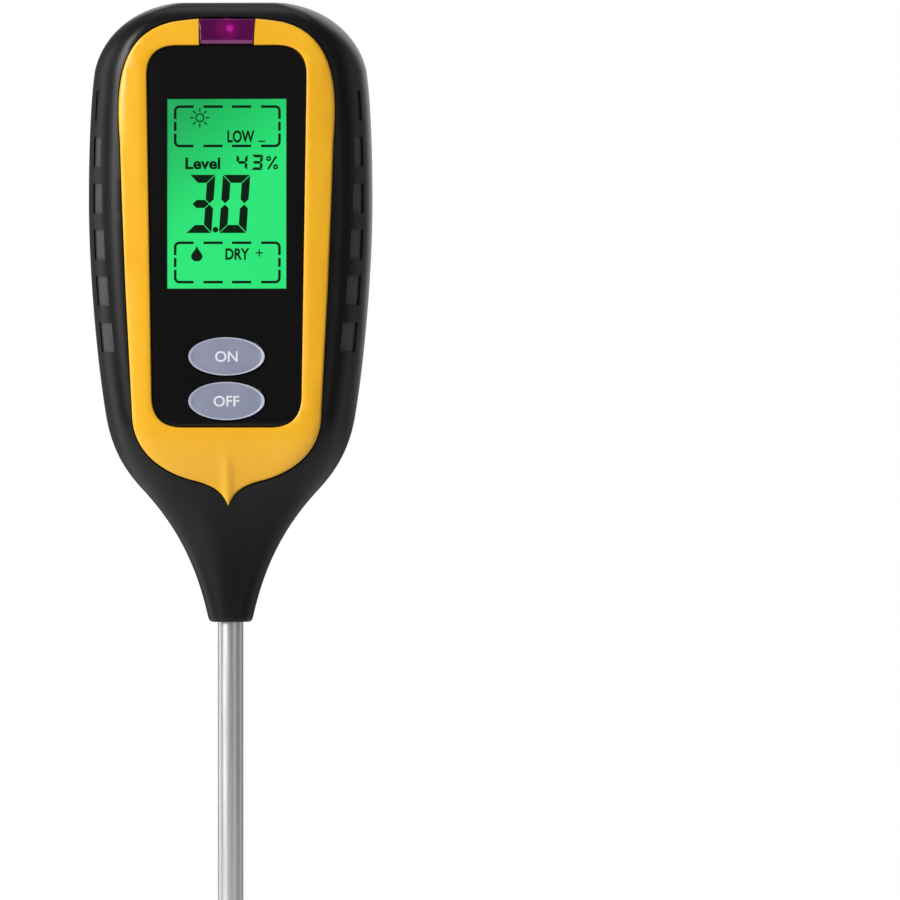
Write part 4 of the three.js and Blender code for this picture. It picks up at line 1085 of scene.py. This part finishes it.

# ---------------------------------------------------------------- push buttons
# Two oval lavender-grey ABS buttons, moulded with a rim and a low crown, and retained by a wider
# flange behind the front shell. The outer band of each front is painted paler as a painted highlight
# on the rim. The legends are white prints.

BUTTON_FRONT, FLANGE_FRONT, FLANGE_BACK = -14.6, -11.3, -10.3
lavender = Finish("lavender_grey", srgb(142, 146, 168), 0.42)
lavender.vary(srgb(139, 143, 165), srgb(146, 150, 172), 200)
lavender.bump(lavender.noise(2500, 2), 0.006 * MM)
# Painted highlight: the outer band of each button's front gets a paler grey, standing in for the light the
# rim catches.
rim_painted_highlight = Finish("rim_painted_highlight", srgb(186, 190, 208), 0.4)
rim_painted_highlight.vary(srgb(183, 187, 205), srgb(190, 194, 212), 200)
print_white = Finish("white_print", srgb(232, 234, 240), 0.5)
print_white.vary(srgb(229, 231, 237), srgb(236, 238, 243), 500)

for label, z in zip(("on", "off"), BUTTON_Z):
    key = plate(f"{label}_key", [oval_loop(z, BUTTON_HALF, BUTTON_TALL)], BUTTON_FRONT, FLANGE_BACK)
    select_faces(key, lambda centre, normal: normal.y < -0.9)
    crown = [(0.965, 0), (0.93, 0.14), (0.8, -0.05), (0.55, -0.05), (0.25, -0.03)]
    scale = 1
    for share, sink in crown:
        bpy.ops.mesh.inset(thickness=0.001 * MM)
        bpy.ops.transform.resize(value=(share / scale, 1, share / scale),
                                 center_override=(0, BUTTON_FRONT * MM, z * MM))
        bpy.ops.transform.translate(value=(0, sink * MM, 0))
        scale = share
    bpy.ops.mesh.select_mode(type="VERT")
    bpy.ops.object.mode_set(mode="OBJECT")
    combine(key, plate("flange", [oval_loop(z, BUTTON_HALF + 1.2, BUTTON_TALL - 0.1)],
                       FLANGE_FRONT, FLANGE_BACK), "UNION")
    paint(key, lavender)
    key.data.materials.append(rim_painted_highlight.material)
    # The outer band of the front takes the painted highlight.
    for polygon in key.data.polygons:
        across, up = polygon.center.x / MM / BUTTON_HALF, (polygon.center.z / MM - z) / BUTTON_TALL
        reach = math.hypot(across, up)
        if polygon.center.y < (BUTTON_FRONT + 0.2) * MM and reach > 0.94:
            polygon.material_index = 1
    body = f"{label}_button"
    settle(key, body, f"button_{label}")
    legend = lettering(label.upper(), 0, z - 1.15, 2.3, BUTTON_FRONT + 0.02, heavy=0.015)
    legend.name = f"{label}_legend"
    paint(legend, print_white)
    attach(legend, body)

# ---------------------------------------------------------------- mode slider
# A yellow ABS knob with a rounded thumb rib between two fine grooves. Its stem passes through the
# slot in the recess floor and drives the slide switch.

KNOB_BACK, KNOB_FACE, RIB_TOP = 16.8, 18.8, 20.7
knob = plate("thumb_knob", [rounded_loop(7.1, KNOB_Z - 4.05, KNOB_Z + 4.05, 1.1)], KNOB_BACK, KNOB_FACE)
bevel_where(knob, lambda x, y, z: y > KNOB_FACE - 0.01, 0.35, 3)
rib = block("rib", (-2.65, KNOB_BACK + 0.5, KNOB_Z - 4.25), (2.65, RIB_TOP, KNOB_Z + 4.25))
bevel_where(rib, lambda x, y, z: y > RIB_TOP - 0.01, 0.9, 6)
combine(knob, rib, "UNION")
combine(knob, joined([block("groove", (x - 0.2, KNOB_FACE - 0.35, KNOB_Z - 3.6),
                            (x + 0.2, OUT, KNOB_Z + 3.6)) for x in (-3.1, 3.1)], "grooves"))
combine(knob, block("stem", (-2, 13.6, KNOB_Z - 1.5), (2, KNOB_BACK + 0.6, KNOB_Z + 1.5)), "UNION")
for vertex in knob.data.vertices:
    vertex.co.x += KNOB_X * MM
paint(knob, yellow)
settle(knob, "mode_slider", "slider_knob")

# ---------------------------------------------------------------- battery door and its latch
# The door is a flat plate of textured black ABS that swings on two hooks at its top. The latch is
# a sprung tongue below it, moulded with a raised thumb pad and an opening above the pad.


def soften(piece, width):
    """Rounds the piece's hard edges a little, as a mould does."""
    select_only(piece)
    bevel = piece.modifiers.new("soft_edges", "BEVEL")
    bevel.width = width * MM
    bevel.segments = 2
    bevel.limit_method = "ANGLE"
    bevel.angle_limit = math.radians(40)
    bpy.ops.object.modifier_apply(modifier=bevel.name)


door_edge = rounded_loop(DOOR_HALF, DOOR_LOW, DOOR_HIGH, 1, bow=DOOR_BOW)
door = plate("door_plate", [door_edge], DOOR_INNER, BACK)
bevel_where(door, lambda x, y, z: y > BACK - 0.01, 0.3, 3)
hooks = []
for x in (-HOOK_X, HOOK_X):
    low, high = x - HOOK_HALF, x + HOOK_HALF
    hook = block("hook", (low, 17.6, DOOR_HIGH - 3), (high, 18.8, DOOR_HIGH + 1.6))
    soften(hook, 0.25)
    root = block("root", (low + 0.3, 17.9, DOOR_HIGH - 2.7),
                 (high - 0.3, DOOR_INNER + 0.4, DOOR_HIGH - 1.6))
    combine(hook, root, "UNION")
    hooks.append(hook)
combine(door, joined(hooks, "hooks"), "UNION")
paint(door, rear_black)
settle(door, "battery_door", "battery_door")

latch = plate("latch_tongue", [tongue_loop(LATCH_HALF, LATCH_LOW, 53.25)], 20, 21.4)
bevel_where(latch, lambda x, y, z: y > 21.39, 0.3, 3)
thumb = block("thumb_pad", (-3.4, 20.9, 45.4), (3.4, 21.8, 49))
bevel_where(thumb, lambda x, y, z: y > 21.79, 0.25, 3)
combine(latch, thumb, "UNION")
combine(latch, plate("undercut", [rounded_loop(3.9, 49.35, 52.3, 0.5)], 19, OUT))
paint(latch, rear_black)
settle(latch, "door_latch", "door_latch")

# ---------------------------------------------------------------- battery
# A plain 9-volt block: six cells in a painted steel jacket crimped over two end plates, with two
# plated terminals on top. It lies loose in the bay under the door.

battery_low, battery_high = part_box("battery_9v")
JACKET_TOP = 106
TERMINAL_Y = (battery_low[1] + battery_high[1]) / 2 / MM
jacket = block("battery_block", [part / MM for part in battery_low],
               (battery_high[0] / MM, battery_high[1] / MM, JACKET_TOP))
bevel_where(jacket, lambda x, y, z: True, 1.2, 4)
select_faces(jacket, lambda centre, normal: abs(normal.z) > 0.9)
bpy.ops.mesh.inset(thickness=0.5 * MM)
bpy.ops.transform.resize(value=(1, 1, 0.992), center_override=(0, 0, (JACKET_TOP + 57.5) / 2 * MM))
bpy.ops.mesh.select_mode(type="VERT")
bpy.ops.object.mode_set(mode="OBJECT")
tin = Finish("tin_plate", (0.55, 0.55, 0.56), 0.3, Metallic=1)
tin.vary((0.5, 0.5, 0.51), (0.6, 0.6, 0.61), 200)
navy = Finish("navy_jacket", srgb(40, 62, 104), 0.35, Coat_Weight=0.3)
navy.vary(srgb(38, 59, 100), srgb(43, 66, 109), 80)
for x in (-6.35, 6.35):
    made = along_z("terminal", 3, JACKET_TOP - 1, battery_high[2] / MM, 32)
    for vertex in made.data.vertices:
        vertex.co.x += x * MM
        vertex.co.y += TERMINAL_Y * MM
    soften(made, 0.4)
    combine(jacket, made, "UNION")
paint(jacket, navy)
jacket.data.materials.append(tin.material)
for polygon in jacket.data.polygons:
    if not 60 < polygon.center.z / MM < 103.5:
        polygon.material_index = 1
settle(jacket, "meter", "battery_9v")

# ---------------------------------------------------------------- screws and neck pins
# Six black-oxide steel screws with pan heads and a cross recess join the shells from behind, and
# two plain plated pins line up the two halves of the neck.

plated = Finish("plated_steel", (0.42, 0.42, 0.43), 0.3, Metallic=1)
plated.vary((0.38, 0.38, 0.39), (0.46, 0.46, 0.47), 900)
oxide = Finish("black_oxide_steel", (0.045, 0.045, 0.047), 0.38, Metallic=1)
oxide.vary((0.035, 0.035, 0.037), (0.055, 0.055, 0.057), 900)

HEAD_R, HEAD_SEAT, HEAD_TOP, SHANK_R, SHANK_END = 2.2, 3.5, 5.3, 1.2, -6.5
CROSS_THIN, CROSS_REACH, CROSS_FLOOR = 0.38, 1.35, 4.1
screw = rod("screw", 0, 0, HEAD_R, HEAD_SEAT, HEAD_TOP, 48)
bevel_where(screw, lambda x, y, z: y > HEAD_TOP - 0.01, 0.5, 4)
combine(screw, rod("shank", 0, 0, SHANK_R, SHANK_END, HEAD_SEAT + 0.1, 24), "UNION")
for wide, tall in ((CROSS_THIN, CROSS_REACH), (CROSS_REACH, CROSS_THIN)):
    combine(screw, block("cross", (-wide, CROSS_FLOOR, -tall), (wide, 6, tall)))
paint(screw, oxide)


def moved(piece, name, x, z):
    """A copy of a piece, shifted across the face."""
    twin = copy_of(piece, name)
    for vertex in twin.data.vertices:
        vertex.co.x += x * MM
        vertex.co.z += z * MM
    return twin


for place, x, z in SCREW_PLACES:
    settle(moved(screw, f"screw_{place}", x, z), "meter", f"housing_screw_{place}")
bpy.data.objects.remove(screw)

pin_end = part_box("neck_pin_left")[1][1] / MM
pin = rod("pin", 0, 0, 0.9, -4.7, pin_end, 32)
soften(pin, 0.15)
paint(pin, plated)
for side, x in (("left", -PIN_X), ("right", PIN_X)):
    settle(moved(pin, f"pin_{side}", x, PIN_Z), "meter", f"neck_pin_{side}")
bpy.data.objects.remove(pin)

# ---------------------------------------------------------------- probe
# A drawn stainless tube, brushed along its length, with a brass collar inside the neck. At its
# lower end a white insulating sleeve holds a turned tip that is the second electrode.


def turned_piece(name, profile):
    """A closed profile of radius and height, in millimetres, spun about the probe's axis."""
    mesh = bpy.data.meshes.new(name)
    count = len(profile)
    links = [(index, (index + 1) % count) for index in range(count)]
    links = [(a, b) for a, b in links if profile[a][0] or profile[b][0]]
    mesh.from_pydata([(r * MM, 0, z * MM) for r, z in profile], links, [])
    made = bpy.data.objects.new(name, mesh)
    bpy.context.collection.objects.link(made)
    edit_all(made)
    bpy.ops.mesh.spin(steps=64, angle=2 * math.pi, center=(0, 0, 0), axis=(0, 0, 1))
    bpy.ops.mesh.select_all(action="SELECT")
    bpy.ops.mesh.remove_doubles(threshold=0.002 * MM)
    bpy.ops.mesh.normals_make_consistent(inside=False)
    bpy.ops.object.mode_set(mode="OBJECT")
    return made


stainless = Finish("brushed_stainless", (0.75, 0.75, 0.76), 0.35, Metallic=1)
stretched = stainless.node("ShaderNodeMapping", None, {0: stainless.place, "Scale": (1, 1, 0.02)})
brush = stainless.noise(2500, 3, stretched)
stainless.set("Roughness", 0.3 + 0.16 * brush)
stainless.set("Base Color", stainless.node("ShaderNodeValToRGB", {"stops": [
    (0.3, (0.72, 0.72, 0.73)), (0.7, (0.82, 0.82, 0.83))]}, {0: brush}))

PROBE_R, BORE_R = 2.8, 2.2
TUBE_LOW, TUBE_HIGH = -182.7, 36
TIP_TOP, TIP_END, SLEEVE_TOP = -184.7, -197.1, -170.7
tube = turned_piece("probe_sleeve", [
    (BORE_R, TUBE_LOW), (PROBE_R - 0.4, TUBE_LOW), (PROBE_R - 0.12, TUBE_LOW + 0.12),
    (PROBE_R, TUBE_LOW + 0.4), (PROBE_R, TUBE_HIGH - 0.3), (PROBE_R - 0.2, TUBE_HIGH),
    (BORE_R, TUBE_HIGH)])
paint(tube, stainless)
settle(tube, "meter", "probe_tube")

COLLAR_LOW, COLLAR_HIGH, COLLAR_R = 27.8, 31, 6.2
collar = turned_piece("neck_collar", [
    (PROBE_R + 0.3, COLLAR_LOW), (COLLAR_R - 0.3, COLLAR_LOW), (COLLAR_R, COLLAR_LOW + 0.3),
    (COLLAR_R, COLLAR_HIGH - 0.3), (COLLAR_R - 0.3, COLLAR_HIGH), (PROBE_R + 0.3, COLLAR_HIGH)])
brass = Finish("turned_brass", (0.65, 0.46, 0.19), 0.3, Metallic=1)
brass.vary((0.6, 0.42, 0.17), (0.7, 0.5, 0.21), 300)
paint(collar, brass)
settle(collar, "meter", "probe_collar")

STUD_R = 1.1
WASHER_R, SLEEVE_R, STUD_PIN_R = 2.55, 1.9, 0.8
insulator = turned_piece("tip_insulator", [
    (STUD_R, TIP_TOP + 0.3), (WASHER_R - 0.1, TIP_TOP + 0.3), (WASHER_R, TIP_TOP + 0.4),
    (WASHER_R, TUBE_LOW - 0.4), (WASHER_R - 0.1, TUBE_LOW - 0.3), (SLEEVE_R, TUBE_LOW - 0.3),
    (SLEEVE_R, SLEEVE_TOP), (STUD_R, SLEEVE_TOP)])
ivory = Finish("white_nylon", srgb(226, 226, 220), 0.5, Subsurface_Weight=0.1)
ivory.vary(srgb(222, 222, 216), srgb(230, 230, 225), 300)
paint(insulator, ivory)
settle(insulator, "meter", "probe_insulator")

DOME_TALL = 2.6
turns = [math.radians(9 * step) for step in range(11)]
dome = [(PROBE_R * math.sin(turn), TIP_END + DOME_TALL * (1 - math.cos(turn))) for turn in turns]
tip = turned_piece("tip_electrode", dome + [
    (PROBE_R, TIP_TOP - 0.2), (PROBE_R - 0.2, TIP_TOP), (STUD_PIN_R, TIP_TOP),
    (STUD_PIN_R, SLEEVE_TOP - 0.1), (STUD_PIN_R - 0.1, SLEEVE_TOP), (0, SLEEVE_TOP)])
paint(tip, stainless)
settle(tip, "meter", "probe_tip")

# ---------------------------------------------------------------- inside the head
# The main board with its chip, the display's light guide and contact strips, the two tact switches
# and their plungers, the slide switch on its own board, the air sensor, and the hand-soldered leads.

board_green = Finish("solder_mask_green", srgb(26, 92, 50), 0.35, Coat_Weight=0.3)
board_green.vary(srgb(22, 84, 45), srgb(30, 100, 56), 600)
chip_black = Finish("epoxy_black", (0.012, 0.012, 0.012), 0.45)
chip_black.vary((0.01, 0.01, 0.01), (0.015, 0.015, 0.015), 900)
guide_clear = Finish("frosted_acrylic", srgb(214, 240, 224), 0.4)
guide_clear.vary(srgb(208, 236, 218), srgb(220, 244, 230), 200)
rubber_brown = Finish("zebra_rubber", srgb(120, 62, 56), 0.8)
layers = rubber_brown.node("ShaderNodeTexWave", {"bands_direction": "X"},
                           {0: rubber_brown.place, "Scale": 1500})
rubber_brown.set("Base Color", rubber_brown.node("ShaderNodeValToRGB", {"stops": [
    (0.4, srgb(140, 74, 66)), (0.6, srgb(36, 30, 30))]}, {0: layers}))
white_abs = Finish("white_abs", srgb(228, 228, 222), 0.45)
white_abs.vary(srgb(225, 225, 219), srgb(231, 231, 226), 300)
red_pvc = Finish("red_pvc", srgb(176, 30, 26), 0.45)
red_pvc.vary(srgb(170, 27, 23), srgb(184, 35, 30), 500)
black_pvc = Finish("black_pvc", (0.014, 0.014, 0.014), 0.45)
black_pvc.vary((0.012, 0.012, 0.012), (0.018, 0.018, 0.018), 500)

board_screws = [f"board_screw_{level}_{side}" for level in ("upper", "lower")
                for side in ("left", "right")]
inside = [
    (board_green, "board_green", ["main_board", "switch_board", "air_sensor_board"]),
    (chip_black, "chip_black", ["controller_chip", "thermistor"]),
    (guide_clear, "light_guide", ["backlight_guide"]),
    (rubber_brown, "elastomer", ["lcd_strip_upper", "lcd_strip_lower"]),
    (plated, "screw_steel", ["tact_switch_on", "tact_switch_off", "slide_switch", *board_screws]),
    (chip_black, "black_plastic", ["plunger_on", "plunger_off"]),
    (white_abs, "white_plastic", ["slide_actuator", "air_sensor", "air_sensor_lead", "switch_lead"]),
    (red_pvc, "red_wire", ["battery_lead_red", "tip_lead"]),
    (black_pvc, "black_wire", ["battery_snap", "battery_lead_black", "tube_lead"]),
]
for finish, slot, names in inside:
    for name in names:
        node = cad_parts[name]
        paint(node, finish)
